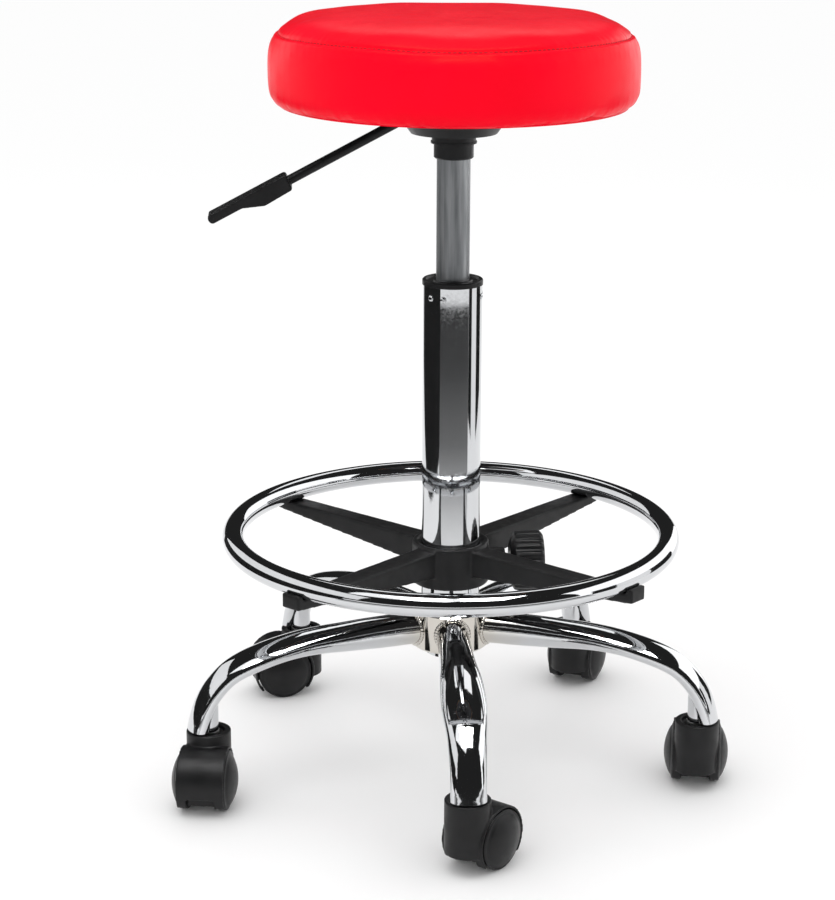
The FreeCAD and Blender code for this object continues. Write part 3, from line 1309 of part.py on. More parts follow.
def casters():
    """The five casters, each with its hood, axle and two wheels, standing at its own bearing."""
    for index in range(LEGS):
        number = index + 1
        bearing = size(f"caster_bearing_{number}")
        standing = pointing(bearing)
        x, y = across("dims.stem_radius", f"{index * LEG_STEP}")
        node(place(hood(number), x, y, rotation=standing), f"caster_hood_{number}")
        trail_x, trail_y = across("dims.caster_trail", f"{bearing}")
        axle_x, axle_y = f"{x} + {trail_x}", f"{y} + {trail_y}"
        half = "(dims.wheel_inner + dims.wheel_tread + dims.wheel_dome - dims.wheel_cap - dims.gap)"
        back_x, back_y = across(half, f"{bearing - 90}")
        axle = cylinder(f"axle_{number}", "dims.axle_diameter", f"2 * {half}")
        lay = standing * ALONG_Y
        place(axle, f"{axle_x} + {back_x}", f"{axle_y} + {back_y}", "dims.wheel_diameter / 2", lay)
        node(axle, f"caster_axle_{number}")
        for side, sign in (("left", 1), ("right", -1)):
            shift_x, shift_y = across("dims.wheel_inner", f"{bearing + 90 * sign}")
            body = wheel(number, side)
            lay = standing * Rotation(Vector(1, 0, 0), -90 * sign)
            place(body, f"{axle_x} + {shift_x}", f"{axle_y} + {shift_y}", "dims.wheel_diameter / 2", lay)
            node(body, f"wheel_{side}_{number}")


# ---------------------------------------------------------------- the stool
column_tube()
bush_rivets()
guide_bush()
thrust_bearing()
piston_rod()
gas_cylinder()
taper_socket()
seat_plate()
seat_fasteners()
seat_board()
cushion()
lever()
foot_ring()
ring_spider()
spider_screws()
clamp()
base_hub()
legs()
stem_sockets()
stems()
casters()

doc.recompute()
faults = [item.Name for item in doc.Objects if "Invalid" in item.State or "Error" in item.State]
faults += [item.Label for item in nodes if item.Shape.isNull() or not item.Shape.isValid()]
if faults:
    raise RuntimeError("failed: " + ", ".join(faults))

os.makedirs("parts", exist_ok=True)
for item in nodes:
    item.Shape.exportStep(os.path.join("parts", item.Label + ".step"))
print(len(nodes), "nodes written")
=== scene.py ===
import json
import math

import bmesh
import bpy
import numpy as np
from mathutils import Matrix, Vector, noise
from mathutils.bvhtree import BVHTree


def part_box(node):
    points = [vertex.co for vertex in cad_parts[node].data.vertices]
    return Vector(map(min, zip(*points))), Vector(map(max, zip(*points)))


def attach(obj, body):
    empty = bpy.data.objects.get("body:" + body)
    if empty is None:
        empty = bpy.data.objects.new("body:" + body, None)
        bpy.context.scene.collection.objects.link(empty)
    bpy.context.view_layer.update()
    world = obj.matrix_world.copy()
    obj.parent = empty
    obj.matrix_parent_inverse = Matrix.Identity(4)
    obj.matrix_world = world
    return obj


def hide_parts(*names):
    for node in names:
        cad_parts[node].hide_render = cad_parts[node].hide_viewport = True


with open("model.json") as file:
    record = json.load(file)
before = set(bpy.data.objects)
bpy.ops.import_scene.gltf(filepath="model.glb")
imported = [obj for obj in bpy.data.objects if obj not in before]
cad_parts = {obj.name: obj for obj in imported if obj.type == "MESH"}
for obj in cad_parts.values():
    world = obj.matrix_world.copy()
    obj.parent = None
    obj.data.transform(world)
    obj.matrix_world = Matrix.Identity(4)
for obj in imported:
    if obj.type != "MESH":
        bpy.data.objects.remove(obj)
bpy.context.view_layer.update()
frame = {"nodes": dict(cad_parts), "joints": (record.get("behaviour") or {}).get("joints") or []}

# The looks of a rolling stylist stool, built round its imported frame. Lengths are in metres.
# A bearing is in degrees from the front (-Y) towards +X, as in the frame's own source.
MM = 0.001
CASTERS = range(1, 6)
SIDES = ("left", "right")
SCENE = bpy.context.scene


# ---------------------------------------------------------------- places read from the frame
def middle(name):
    """The centre of a frame node's box."""
    low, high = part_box(name)
    return (low + high) / 2


def heading(bearing):
    """The level direction of a bearing."""
    angle = math.radians(bearing)
    return Vector((math.sin(angle), -math.cos(angle), 0))


SEAT_LOW, SEAT_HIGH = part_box("seat_cover")
BOARD_LOW, BOARD_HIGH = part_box("seat_board")
DUST_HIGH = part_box("dust_cover")[1]
RING_LOW, RING_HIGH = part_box("foot_ring")
STEMS = {}
for joint in frame["joints"]:
    if joint["name"].endswith("_swivel") and joint["name"].startswith("caster"):
        STEMS[joint["child"]] = Vector(joint["pos_m"])


# ---------------------------------------------------------------- materials
def surface(name, colour, roughness, **sockets):
    """A material whose uniform values stand on the shader's own sockets."""
    material = bpy.data.materials.new(name)
    material.use_nodes = True
    shader = material.node_tree.nodes["Principled BSDF"]
    shader.inputs["Base Color"].default_value = (*colour, 1)
    shader.inputs["Roughness"].default_value = roughness
    for socket, value in sockets.items():
        shader.inputs[socket.replace("_", " ")].default_value = value
    return material


def pattern(material, kind, scale, stretch=(1, 1, 1), **sockets):
    """A texture in the object's own coordinates; returns its value."""
    tree = material.node_tree
    place = tree.nodes.new("ShaderNodeTexCoord")
    mapping = tree.nodes.new("ShaderNodeMapping")
    mapping.inputs["Scale"].default_value = stretch
    texture = tree.nodes.new(kind)
    tree.links.new(place.outputs["Object"], mapping.inputs["Vector"])
    tree.links.new(mapping.outputs["Vector"], texture.inputs["Vector"])
    texture.inputs["Scale"].default_value = scale
    for socket, value in sockets.items():
        texture.inputs[socket].default_value = value
    return texture.outputs["Fac" if kind == "ShaderNodeTexNoise" else "Distance"]


def vary(material, value, socket, low, high):
    """Drive a shader socket between two numbers by a texture."""
    tree = material.node_tree
    spread = tree.nodes.new("ShaderNodeMapRange")
    spread.inputs["From Min"].default_value = 0.3
    spread.inputs["From Max"].default_value = 0.7
    spread.inputs["To Min"].default_value = low
    spread.inputs["To Max"].default_value = high
    tree.links.new(value, spread.inputs["Value"])
    tree.links.new(spread.outputs["Result"], tree.nodes["Principled BSDF"].inputs[socket])


def colour_ramp(tree, value, stops):
    """A ramp of (position, colour) stops driven by a value; returns its colour."""
    ramp = tree.nodes.new("ShaderNodeValToRGB")
    while len(ramp.color_ramp.elements) < len(stops):
        ramp.color_ramp.elements.new(0.5)
    for element, (position, colour) in zip(ramp.color_ramp.elements, stops):
        element.position = position
        element.color = (*colour, 1)
    tree.links.new(value, ramp.inputs["Fac"])
    return ramp.outputs["Color"]


def shade(material, value, stops):
    """Drive the base colour through a ramp of stops by a texture."""
    tree = material.node_tree
    base = tree.nodes["Principled BSDF"].inputs["Base Color"]
    tree.links.new(colour_ramp(tree, value, stops), base)


def distance_from_axis(tree):
    """The distance of a point from the upright axis."""
    place = tree.nodes.new("ShaderNodeTexCoord")
    mapping = tree.nodes.new("ShaderNodeMapping")
    mapping.inputs["Scale"].default_value = (1, 1, 0)
    reach = tree.nodes.new("ShaderNodeVectorMath")
    reach.operation = "LENGTH"
    tree.links.new(place.outputs["Object"], mapping.inputs["Vector"])
    tree.links.new(mapping.outputs["Vector"], reach.inputs[0])
    return reach.outputs["Value"]


def relief(material, value, depth, strength=1.0):
    """Add a bump of the given depth under the ones already there."""
    tree = material.node_tree
    normal = tree.nodes["Principled BSDF"].inputs["Normal"]
    bump = tree.nodes.new("ShaderNodeBump")
    bump.inputs["Distance"].default_value = depth
    bump.inputs["Strength"].default_value = strength
    tree.links.new(value, bump.inputs["Height"])
    if normal.is_linked:
        tree.links.new(normal.links[0].from_socket, bump.inputs["Normal"])
    tree.links.new(bump.outputs["Normal"], normal)


NOISE = "ShaderNodeTexNoise"
CELLS = "ShaderNodeTexVoronoi"
TINT_UNEVENNESS = 0.03


def red_vinyl():
    """Smooth upholstery vinyl with a fine pebble grain and a little wear."""
    material = surface("red_vinyl", (0.95, 0.0, 0.014), 0.36, Specular_IOR_Level=0.1)
    material.node_tree.nodes["Principled BSDF"].inputs["Specular Tint"].default_value = (1, 0.5, 0.15, 1)
    shade(material, pattern(material, NOISE, 9, Detail=4), [(0.3, (0.88, 0, 0.014)), (0.7, (0.95, 0, 0.02))])
    vary(material, pattern(material, NOISE, 60, Detail=5), "Roughness", 0.3, 0.4)
    relief(material, pattern(material, CELLS, 900), 0.00012, 0.35)
    relief(material, pattern(material, NOISE, 220, Detail=6), 0.0002, 0.25)
    return material


def chrome(name="chrome", warm_centre=False):
    """Bright chrome plate: faint polishing marks, dust and waviness, and, when asked, a warmer tone nearer
    the upright axis.
    """
    material = surface(name, (0.64, 0.65, 0.665), 0.05, Metallic=1.0)
    dust = pattern(material, NOISE, 30, Detail=3)
    if warm_centre:
        # A warmer, yellower base colour nearer the upright axis, set by the distance from it and made a
        # little uneven by the dust noise.
        tree = material.node_tree
        uneven = tree.nodes.new("ShaderNodeMath")
        uneven.operation = "MULTIPLY_ADD"
        uneven.inputs[1].default_value = TINT_UNEVENNESS
        tree.links.new(dust, uneven.inputs[0])
        tree.links.new(distance_from_axis(tree), uneven.inputs[2])
        stops = [(0.048, (0.6, 0.57, 0.52)), (0.062, (0.62, 0.61, 0.59)), (0.09, (0.65, 0.66, 0.675))]
        shade(material, uneven.outputs["Value"], stops)
    else:
        shade(material, dust, [(0.3, (0.62, 0.63, 0.645)), (0.7, (0.66, 0.67, 0.685))])
    vary(material, pattern(material, NOISE, 420, Detail=6), "Roughness", 0.025, 0.075)
    relief(material, pattern(material, NOISE, 55, Detail=2), 0.00012, 0.08)
    return material


def drawn_zinc():
    """The grey lift cylinder: satin, with fine lines drawn along it and faint smears."""
    material = surface("zinc_steel", (0.5, 0.51, 0.52), 0.3, Metallic=0.85)
    lines = pattern(material, NOISE, 1, stretch=(900, 900, 9), Detail=4)
    shade(material, pattern(material, NOISE, 1, stretch=(160, 160, 12), Detail=5),
          [(0.3, (0.14, 0.15, 0.16)), (0.7, (0.38, 0.39, 0.4))])
    vary(material, lines, "Roughness", 0.28, 0.45)
    relief(material, lines, 0.00008, 0.3)
    return material


def moulded_black(name, colour, roughness, grain, depth):
    """Black moulded plastic with a spark-eroded grain and slightly uneven shine."""
    material = surface(name, colour, roughness, Specular_IOR_Level=0.3)
    lighter = tuple(1.7 * channel for channel in colour)
    shade(material, pattern(material, NOISE, 45, Detail=4), [(0.35, colour), (0.7, lighter)])
    vary(material, pattern(material, NOISE, 130, Detail=5), "Roughness", roughness - 0.07, roughness + 0.08)
    relief(material, pattern(material, NOISE, grain, Detail=3), depth, 0.5)
    return material


def bright_steel(name, colour, roughness):
    """Plain plated steel of screws, pins and races, with fine turned marks."""
    material = surface(name, colour, roughness, Metallic=1.0)
    lighter = tuple(min(1, 1.25 * channel) for channel in colour)
    shade(material, pattern(material, NOISE, 200, Detail=4), [(0.3, colour), (0.7, lighter)])
    vary(material, pattern(material, NOISE, 1, stretch=(300, 300, 2600), Detail=3), "Roughness",
         roughness - 0.08, roughness + 0.12)
    relief(material, pattern(material, NOISE, 900, Detail=3), 0.00004, 0.4)
    return material


def plywood():
    """Birch plywood: long grain on the face and layers through the edge."""
    material = surface("plywood", (0.5, 0.36, 0.2), 0.7)
    shade(material, pattern(material, NOISE, 1, stretch=(14, 240, 900), Detail=6),
          [(0.3, (0.33, 0.21, 0.11)), (0.7, (0.6, 0.45, 0.28))])
    relief(material, pattern(material, NOISE, 1, stretch=(30, 500, 500), Detail=4), 0.0002, 0.5)
    return material


def lining():
    """Black spun lining cloth: a felt of short fibres."""
    material = surface("black_lining", (0.012, 0.012, 0.013), 0.9, Sheen_Weight=0.3)
    fibres = pattern(material, NOISE, 900, Detail=8)
    shade(material, fibres, [(0.35, (0.006, 0.006, 0.007)), (0.7, (0.03, 0.03, 0.032))])
    relief(material, pattern(material, CELLS, 1400), 0.0003, 0.6)
    return material


MATERIALS = {
    "red_vinyl": red_vinyl(),
    "chrome": chrome(),
    "warm_centre_chrome": chrome("warm_centre_chrome", warm_centre=True),
    "zinc_steel": drawn_zinc(),
    "black_plastic": moulded_black("black_plastic", (0.0045, 0.0045, 0.005), 0.38, 1500, 0.00006),
    "black_nylon": moulded_black("black_nylon", (0.0055, 0.0055, 0.006), 0.44, 1300, 0.00009),
    "wheel_nylon": moulded_black("wheel_nylon", (0.0045, 0.0045, 0.005), 0.4, 1700, 0.00006),
    "black_steel": moulded_black("black_steel", (0.004, 0.004, 0.0045), 0.36, 700, 0.00012),
    "thread": moulded_black("thread", (0.42, 0, 0.008), 0.7, 2600, 0.0001),
    "pad_plastic": moulded_black("pad_plastic", (0.05, 0.05, 0.052), 0.5, 1500, 0.00006),
    "steel": bright_steel("steel", (0.5, 0.5, 0.49), 0.3),
    "brass": bright_steel("brass", (0.62, 0.44, 0.16), 0.28),
    "plywood": plywood(),
    "black_lining": lining(),
}

# The finish of each frame node that stays in view.
FINISHES = {
    "chrome": ["column_tube", "caster_sockets"],
    "warm_centre_chrome": ["base_hub", *(f"leg_{n}" for n in CASTERS)],
    "zinc_steel": ["gas_cylinder"],
    "black_plastic": ["guide_bush", "socket_collar", "valve_body", "rod_guide"],
    "black_steel": ["seat_plate", "lever_rod", "taper_socket"],
    "steel": [
        "bearing_lower_race", "bearing_balls", "bearing_upper_race", "piston_rod",
        "piston", "rod_clip", "valve_pin", "seat_bolts", "tee_nuts", "lever_pivot_pin",
        "spider_screws", "clamp_stud", "caster_stems", *(f"caster_axle_{n}" for n in CASTERS),
    ],
    "brass": ["clamp_insert"],
    "pad_plastic": ["clamp_pad"],
    "plywood": ["seat_board"],
    "black_lining": ["dust_cover"],
}
for finish, names in FINISHES.items():
    for name in names:
        materials = frame["nodes"][name].data.materials
        materials.clear()
        materials.append(MATERIALS[finish])


# ---------------------------------------------------------------- mesh helpers
def add_piece(name, mesh, finish):
    """Put a mesh in the scene as a smooth piece with a finish."""
    piece = bpy.data.objects.new(name, mesh)
    SCENE.collection.objects.link(piece)
    mesh.materials.clear()
    mesh.materials.append(MATERIALS[finish])
    mesh.shade_smooth()
    return piece


def from_points(name, points, faces, finish):
    """A piece from points and faces."""
    mesh = bpy.data.meshes.new(name)
    mesh.from_pydata([tuple(point) for point in points], [], faces)
    mesh.validate()
    return add_piece(name, mesh, finish)


def applied(piece):
    """The piece with its modifiers applied."""
    graph = bpy.context.evaluated_depsgraph_get()
    mesh = bpy.data.meshes.new_from_object(piece.evaluated_get(graph))
    piece.modifiers.clear()
    piece.data = mesh
    mesh.shade_smooth()
    return piece


def rounded(corners, steps=6):
    """A path of points from corners (across, up, radius), with an arc at each corner that has a radius."""
    path = []
    for index, (across, up, radius) in enumerate(corners):
        corner = Vector((across, up))
        if not radius:
            path.append((across, up))
            continue
        before = (Vector(corners[index - 1][:2]) - corner).normalized()
        after = (Vector(corners[(index + 1) % len(corners)][:2]) - corner).normalized()
        half = before.angle(after) / 2
        centre = corner + (before + after).normalized() * radius / math.sin(half)
        start = corner + before * radius / math.tan(half) - centre
        end = corner + after * radius / math.tan(half) - centre
        first = math.atan2(start.y, start.x)
        turn = (math.atan2(end.y, end.x) - first + math.pi) % math.tau - math.pi
        for step in range(steps + 1):
            angle = first + turn * step / steps
            path.append((centre.x + radius * math.cos(angle), centre.y + radius * math.sin(angle)))
    return path


def lathe(name, path, finish, segments=128, closed=False, shape=None):
    """Turn a path of (radius, height) round local Z. `shape` gives a radius from (angle, radius, height)."""
    points, rings = [], []
    for radius, height in path:
        count = 1 if radius < 1e-7 else segments
        rings.append(range(len(points), len(points) + count))
        for index in range(count):
            angle = math.tau * index / segments
            reach = shape(angle, radius, height) if shape and count > 1 else radius
            points.append((reach * math.cos(angle), reach * math.sin(angle), height))
    pairs = list(zip(rings, rings[1:]))
    if closed:
        pairs.append((rings[-1], rings[0]))
    faces = []
    for lower, upper in pairs:
        for index in range(segments):
            after = (index + 1) % segments
            corners = (lower[index % len(lower)], lower[after % len(lower)],
                       upper[after % len(upper)], upper[index % len(upper)])
            face = list(dict.fromkeys(corners))
            if len(face) > 2:
                faces.append(face)
    return from_points(name, points, faces, finish)


def grid(start, rings, sides, closed=False):
    """The faces between rings of points numbered from `start`: closed joins the last ring to the first."""
    faces = []
    for ring in range(rings if closed else rings - 1):
        here, after = start + ring * sides, start + (ring + 1) % rings * sides
        for side in range(sides):
            beside = (side + 1) % sides
            faces.append((here + side, here + beside, after + beside, after + side))
    return faces


def upright_to(direction, origin):
    """The matrix that lays local Z along a direction, at an origin."""
    return Matrix.Translation(origin) @ direction.to_track_quat("Z", "Y").to_matrix().to_4x4()


def settle(piece, body, slot, *nodes):
    """Ride on a body and stand for frame nodes; the slot is not used."""
    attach(piece, body)
    if nodes:
        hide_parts(*nodes)
    return piece


def moulded(name, node, voxel, softening, finish):
    """A frame node's solid as a moulding: its edges and inner corners softly rounded."""
    mesh = frame["nodes"][node].data.copy()
    shell = bmesh.new()
    shell.from_mesh(mesh)
    bmesh.ops.remove_doubles(shell, verts=shell.verts, dist=2e-6)
    shell.to_mesh(mesh)
    shell.free()
    piece = add_piece(name, mesh, finish)
    remesh = piece.modifiers.new("remesh", "REMESH")
    remesh.mode = "VOXEL"
    remesh.voxel_size = voxel
    soften = piece.modifiers.new("soften", "SMOOTH")
    soften.factor = 0.5
    soften.iterations = softening
    piece = applied(piece)
    piece.data.materials.clear()
    piece.data.materials.append(MATERIALS[finish])
    return piece


# ---------------------------------------------------------------- seat
SEAT_RADIUS = SEAT_HIGH.x
COVER_INSET = 2.2 * MM
SEAT_VOXEL = 5 * MM
HELD_HEIGHT = 5 * MM
SWELL = 5 * MM
SWELL_ROUNDS = 24
SEAT_TOP_ROUND = 25 * MM
SEAT_BOTTOM_ROUND = 12 * MM
COVER_TURN_IN = DUST_HIGH.x + 0.5 * MM
TURNED_EDGE_HEIGHT = 8 * MM
LINING_GAP = 0.2 * MM
BOARD_GAP = 0.1 * MM
SEAM_ANGLE = math.radians(43)
SEAM_CENTRE = Vector((SEAT_RADIUS - SEAT_TOP_ROUND, SEAT_HIGH.z - SEAT_TOP_ROUND))
PUCKER_HEIGHT = 14 * MM


def polar(points):
    """Distance from the axis, angle round it and height of an array of points."""
    return np.hypot(points[:, 0], points[:, 1]), np.arctan2(points[:, 1], points[:, 0]), points[:, 2]


def coordinates(mesh):
    """A mesh's points as an array."""
    points = np.empty(len(mesh.vertices) * 3)
    mesh.vertices.foreach_get("co", points)
    return points.reshape(-1, 3)


def set_coordinates(mesh, points):
    """Write an array of points back to a mesh."""
    mesh.vertices.foreach_set("co", points.astype(np.float32).ravel())
    mesh.update()


def evened(mesh, field, rounds):
    """A field of vectors on a mesh's points, averaged with the neighbours' some rounds."""
    pairs = np.empty(len(mesh.edges) * 2, dtype=np.int32)
    mesh.edges.foreach_get("vertices", pairs)
    first, second = pairs.reshape(-1, 2).T
    count = np.bincount(pairs, minlength=len(field))[:, None]
    for _ in range(rounds):
        total = np.zeros_like(field)
        np.add.at(total, first, field[second])
        np.add.at(total, second, field[first])
        field = (field + total / count) / 2
    return field


def inflate(piece, pressure, most):
    """Swell a closed cushion as stretched cloth over foam, with the bottom held flat on its board."""
    rest = coordinates(piece.data)
    radius, _, height = polar(rest)
    held = piece.vertex_groups.new(name="held")
    flat = np.nonzero((height < SEAT_LOW.z + HELD_HEIGHT) & (radius < SEAT_RADIUS - SEAT_BOTTOM_ROUND))[0]
    held.add(flat.tolist(), 1.0, "REPLACE")
    cloth = piece.modifiers.new("cloth", "CLOTH")
    settings = cloth.settings
    settings.quality = 5
    settings.mass = 0.35
    settings.tension_stiffness = 18
    settings.compression_stiffness = 12
    settings.bending_stiffness = 0.8
    settings.use_pressure = True
    settings.uniform_pressure_force = pressure
    settings.vertex_group_mass = "held"
    settings.effector_weights.gravity = 0
    for number in range(1, 21):
        SCENE.frame_set(number)
    graph = bpy.context.evaluated_depsgraph_get()
    swollen = coordinates(piece.evaluated_get(graph).data)
    piece.modifiers.remove(cloth)
    SCENE.frame_set(1)
    move = swollen - rest
    move[:, 2] = np.maximum(move[:, 2], 0)
    length = np.linalg.norm(move, axis=1, keepdims=True)
    move *= np.minimum(1, most / np.maximum(length, 1e-9))
    set_coordinates(piece.data, rest + evened(piece.data, move, SWELL_ROUNDS))


def ripple(angles, rate, seed):
    """Smooth uneven waves round the seat, from -1 to 1."""
    return np.array([noise.noise((rate * math.cos(a), rate * math.sin(a), seed)) for a in angles]) * 2


def bell(distance, width):
    """One at no distance, falling off smoothly over a width."""
    return np.exp(-(distance / width) ** 2)


def sew(piece):
    """Press the seam into the shoulder, pucker the vinyl along it and pull pleats in at the bottom edge."""
    mesh = piece.data
    points = coordinates(mesh)
    normals = np.empty(len(mesh.vertices) * 3)
    mesh.vertices.foreach_get("normal", normals)
    normals = normals.reshape(-1, 3)
    radius, angle, height = polar(points)
    lean = np.arctan2(height - SEAM_CENTRE.y, radius - SEAM_CENTRE.x)
    shoulder = (radius > SEAM_CENTRE.x) & (height > SEAM_CENTRE.y)
    from_seam = np.where(shoulder, SEAT_TOP_ROUND * (lean - SEAM_ANGLE), 1.0)
    groove = -1.2 * MM * bell(from_seam, 1.8 * MM)
    welt = 0.4 * MM * bell(from_seam + 4 * MM, 2.2 * MM)
    fold = 0.15 * MM * ripple(angle, 30, 1) * bell(from_seam - 3 * MM, 6 * MM)
    crease = 0.12 * MM * ripple(angle, 11, 5) * bell(from_seam + 9 * MM, 14 * MM)
    below = np.clip((SEAT_LOW.z + PUCKER_HEIGHT - height) / PUCKER_HEIGHT, 0, 1) * (radius > COVER_TURN_IN)
    waves = 1.5 * MM * ripple(angle, 8, 9) + 0.8 * MM * ripple(angle, 20, 13)
    pleat = np.minimum(waves, 0) * below ** 1.5
    points += normals * (groove + welt + fold + crease + pleat)[:, None]
    set_coordinates(mesh, points)


def open_bottom(piece):
    """Cut the underside open where the cover is turned in, and line the opening up to the board."""
    shell = bmesh.new()
    shell.from_mesh(piece.data)
    inner = [
        v for v in shell.verts
        if math.hypot(v.co.x, v.co.y) < COVER_TURN_IN and v.co.z < SEAT_LOW.z + TURNED_EDGE_HEIGHT
    ]
    bmesh.ops.delete(shell, geom=inner, context="VERTS")
    levels = (
        (COVER_TURN_IN, SEAT_LOW.z),
        (COVER_TURN_IN, BOARD_LOW.z - BOARD_GAP),
        (BOARD_HIGH.x + LINING_GAP, BOARD_LOW.z - BOARD_GAP),
        (BOARD_HIGH.x + LINING_GAP, BOARD_HIGH.z + LINING_GAP),
    )
    rim = [edge for edge in shell.edges if edge.is_boundary]
    for level, (radius, height) in enumerate(levels):
        if level:
            grown = bmesh.ops.extrude_edge_only(shell, edges=rim)["geom"]
            rim = [item for item in grown if isinstance(item, bmesh.types.BMEdge) and item.is_boundary]
        for vertex in {v for edge in rim for v in edge.verts}:
            scale = radius / math.hypot(vertex.co.x, vertex.co.y)
            vertex.co = (vertex.co.x * scale, vertex.co.y * scale, height)
    bmesh.ops.contextual_create(shell, geom=rim)
    bmesh.ops.recalc_face_normals(shell, faces=shell.faces)
    shell.to_mesh(piece.data)
    shell.free()


def cushion():
    """The padded seat: sewn vinyl over foam, turned in under the board."""
    edge = SEAT_RADIUS - COVER_INSET
    path = rounded([
        (0, SEAT_LOW.z, 0),
        (edge, SEAT_LOW.z, SEAT_BOTTOM_ROUND),
        (edge, SEAT_HIGH.z - COVER_INSET, SEAT_TOP_ROUND),
        (0, SEAT_HIGH.z, 0),
    ], steps=16)
    piece = lathe("cushion", path, "red_vinyl", segments=200)
    remesh = piece.modifiers.new("remesh", "REMESH")
    remesh.mode = "VOXEL"
    remesh.voxel_size = SEAT_VOXEL
    even = piece.modifiers.new("even", "SMOOTH")
    even.factor = 0.5
    even.iterations = 3
    applied(piece)
    inflate(piece, pressure=4, most=SWELL)
    smooth = piece.modifiers.new("divide", "SUBSURF")
    smooth.levels = 2
    applied(piece)
    sew(piece)
    open_bottom(piece)
    piece.data.materials.clear()
    piece.data.materials.append(MATERIALS["red_vinyl"])
    piece.data.shade_smooth()
    settle(piece, "seat", "red_vinyl", "seat_cover", "seat_foam")
    piece.visible_glossy = False
    return piece


STITCHES = 230
STITCH_SHARE = 0.72
THREAD_RADIUS = 0.45 * MM
THREAD_SIDES = 6
STITCH_RINGS = 6
STITCH_END = 0.2
STITCH_POINT = 0.04
STITCH_LIFT = 0.15 * MM


def stitching(cover):
    """The row of red thread stitches that closes the shoulder's seam, laid on the cover."""
    corners = [vertex.co for vertex in cover.data.vertices]
    skin = BVHTree.FromPolygons(corners, [polygon.vertices[:] for polygon in cover.data.polygons])
    points, faces = [], []
    for stitch in range(STITCHES):
        start = len(points)
        for ring in range(STITCH_RINGS):
            along = (ring / (STITCH_RINGS - 1) - 0.5) * STITCH_SHARE
            taper = 1 - (2 * along / (STITCH_SHARE + STITCH_POINT)) ** 2
            thick = THREAD_RADIUS * math.sqrt(max(STITCH_END ** 2, taper))
            turn = math.tau * (stitch + along) / STITCHES
            level = Vector((math.cos(turn), math.sin(turn), 0))
            outward = level * math.cos(SEAM_ANGLE) + Vector((0, 0, math.sin(SEAM_ANGLE)))
            upward = Vector((0, 0, math.cos(SEAM_ANGLE))) - level * math.sin(SEAM_ANGLE)
            inside = level * SEAM_CENTRE.x + Vector((0, 0, SEAM_CENTRE.y))
            place = skin.ray_cast(inside, outward)[0] + outward * STITCH_LIFT
            for side in range(THREAD_SIDES):
                spin = math.tau * side / THREAD_SIDES
                points.append(place + (outward * math.cos(spin) + upward * math.sin(spin)) * thick)
        faces += grid(start, STITCH_RINGS, THREAD_SIDES)
        faces.append(tuple(range(start + THREAD_SIDES - 1, start - 1, -1)))
        faces.append(tuple(range(len(points) - THREAD_SIDES, len(points))))
    piece = from_points("seam_stitches", points, faces, "thread")
    piece.visible_glossy = False
    settle(piece, "seat", "red_vinyl")


# ---------------------------------------------------------------- casters
WHEEL_INNER = 12.1 * MM
WHEEL_RADIUS = 25 * MM
TREAD = 8.4 * MM
DOME = 7.2 * MM
AXLE_BORE = 3.1 * MM
CAP = 4 * MM
CAP_MARGIN = 1.6 * MM
CAP_STEPS = 24
INNER_ROUND = 1.4 * MM
OUTER_ROUND = 1.5 * MM
CAP_GROOVE_INSET = 1.8 * MM
CAP_GROOVE_DEPTH = 0.45 * MM
CAP_GROOVE_WIDTH = 0.5 * MM
HOOD_VOXEL = 0.8 * MM


def wheel_path():
    """A twin wheel's half: a rounded tread, a shallow groove where the cap sits, and a domed cap."""
    top = TREAD + DOME
    cap_edge = WHEEL_RADIUS - CAP_MARGIN
    dome_radius = (cap_edge ** 2 + DOME ** 2) / (2 * DOME)
    path = [(0, top - CAP)] + rounded([
        (AXLE_BORE, top - CAP, 0),
        (AXLE_BORE, 0, 0),
        (WHEEL_RADIUS, 0, INNER_ROUND),
        (WHEEL_RADIUS, TREAD + 0.4 * MM, OUTER_ROUND),
        (cap_edge, TREAD + 0.1 * MM, 0),
    ])
    for step in range(CAP_STEPS + 1):
        reach = cap_edge * (1 - step / CAP_STEPS)
        height = top - dome_radius + math.sqrt(dome_radius ** 2 - reach ** 2)
        dip = CAP_GROOVE_DEPTH * bell(reach - cap_edge + CAP_GROOVE_INSET, CAP_GROOVE_WIDTH)
        path.append((reach, height - dip))
    return path


def casters():
    """Hoods as soft mouldings and wheels as turned twin discs."""
    path = wheel_path()
    for number in CASTERS:
        body = f"caster_{number}"
        hood = moulded(f"hood_{number}", f"caster_hood_{number}", HOOD_VOXEL, 4, "black_nylon")
        settle(hood, body, "black_nylon", f"caster_hood_{number}")
        axle = middle(f"caster_axle_{number}")
        trail = axle - STEMS[body]
        trail.z = 0
        left = Vector((0, 0, 1)).cross(trail).normalized()
        if left.dot(middle(f"wheel_left_{number}") - axle) < 0:
            left.negate()
        for side, outward in zip(SIDES, (left, -left)):
            wheel = lathe(f"disc_{side}_{number}", path, "wheel_nylon", segments=96)
            wheel.matrix_world = upright_to(outward, axle + outward * WHEEL_INNER)
            settle(wheel, f"{body}_{side}_wheel", "wheel_nylon", f"wheel_{side}_{number}")


# ---------------------------------------------------------------- foot rest, knob and lever
FLUTES = 18
FLUTE_RADIUS = 2.9 * MM
FLUTE_OFFSET = 1.4 * MM
FLUTE_START, FLUTE_RUN = 0.8, 0.12
KNOB_BEVEL = 4 * MM
KNOB_DISH = 1.2 * MM
KNOB_ROUND = 1.5 * MM
RING_SIDES = 40
SPIDER_VOXEL = 1.1 * MM
HANDLE_VOXEL = 0.7 * MM


def foot_ring():
    """The chromed ring, as one even torus."""
    tube = (RING_HIGH.z - RING_LOW.z) / 2
    radius = RING_HIGH.x - tube
    centre = (RING_HIGH.z + RING_LOW.z) / 2
    path = []
    for step in range(RING_SIDES):
        angle = math.tau * step / RING_SIDES
        path.append((radius + tube * math.cos(angle), centre + tube * math.sin(angle)))
    ring = lathe("foot_ring_tube", path, "chrome", segments=240, closed=True)
    settle(ring, "foot_rest", "chrome", "foot_ring")


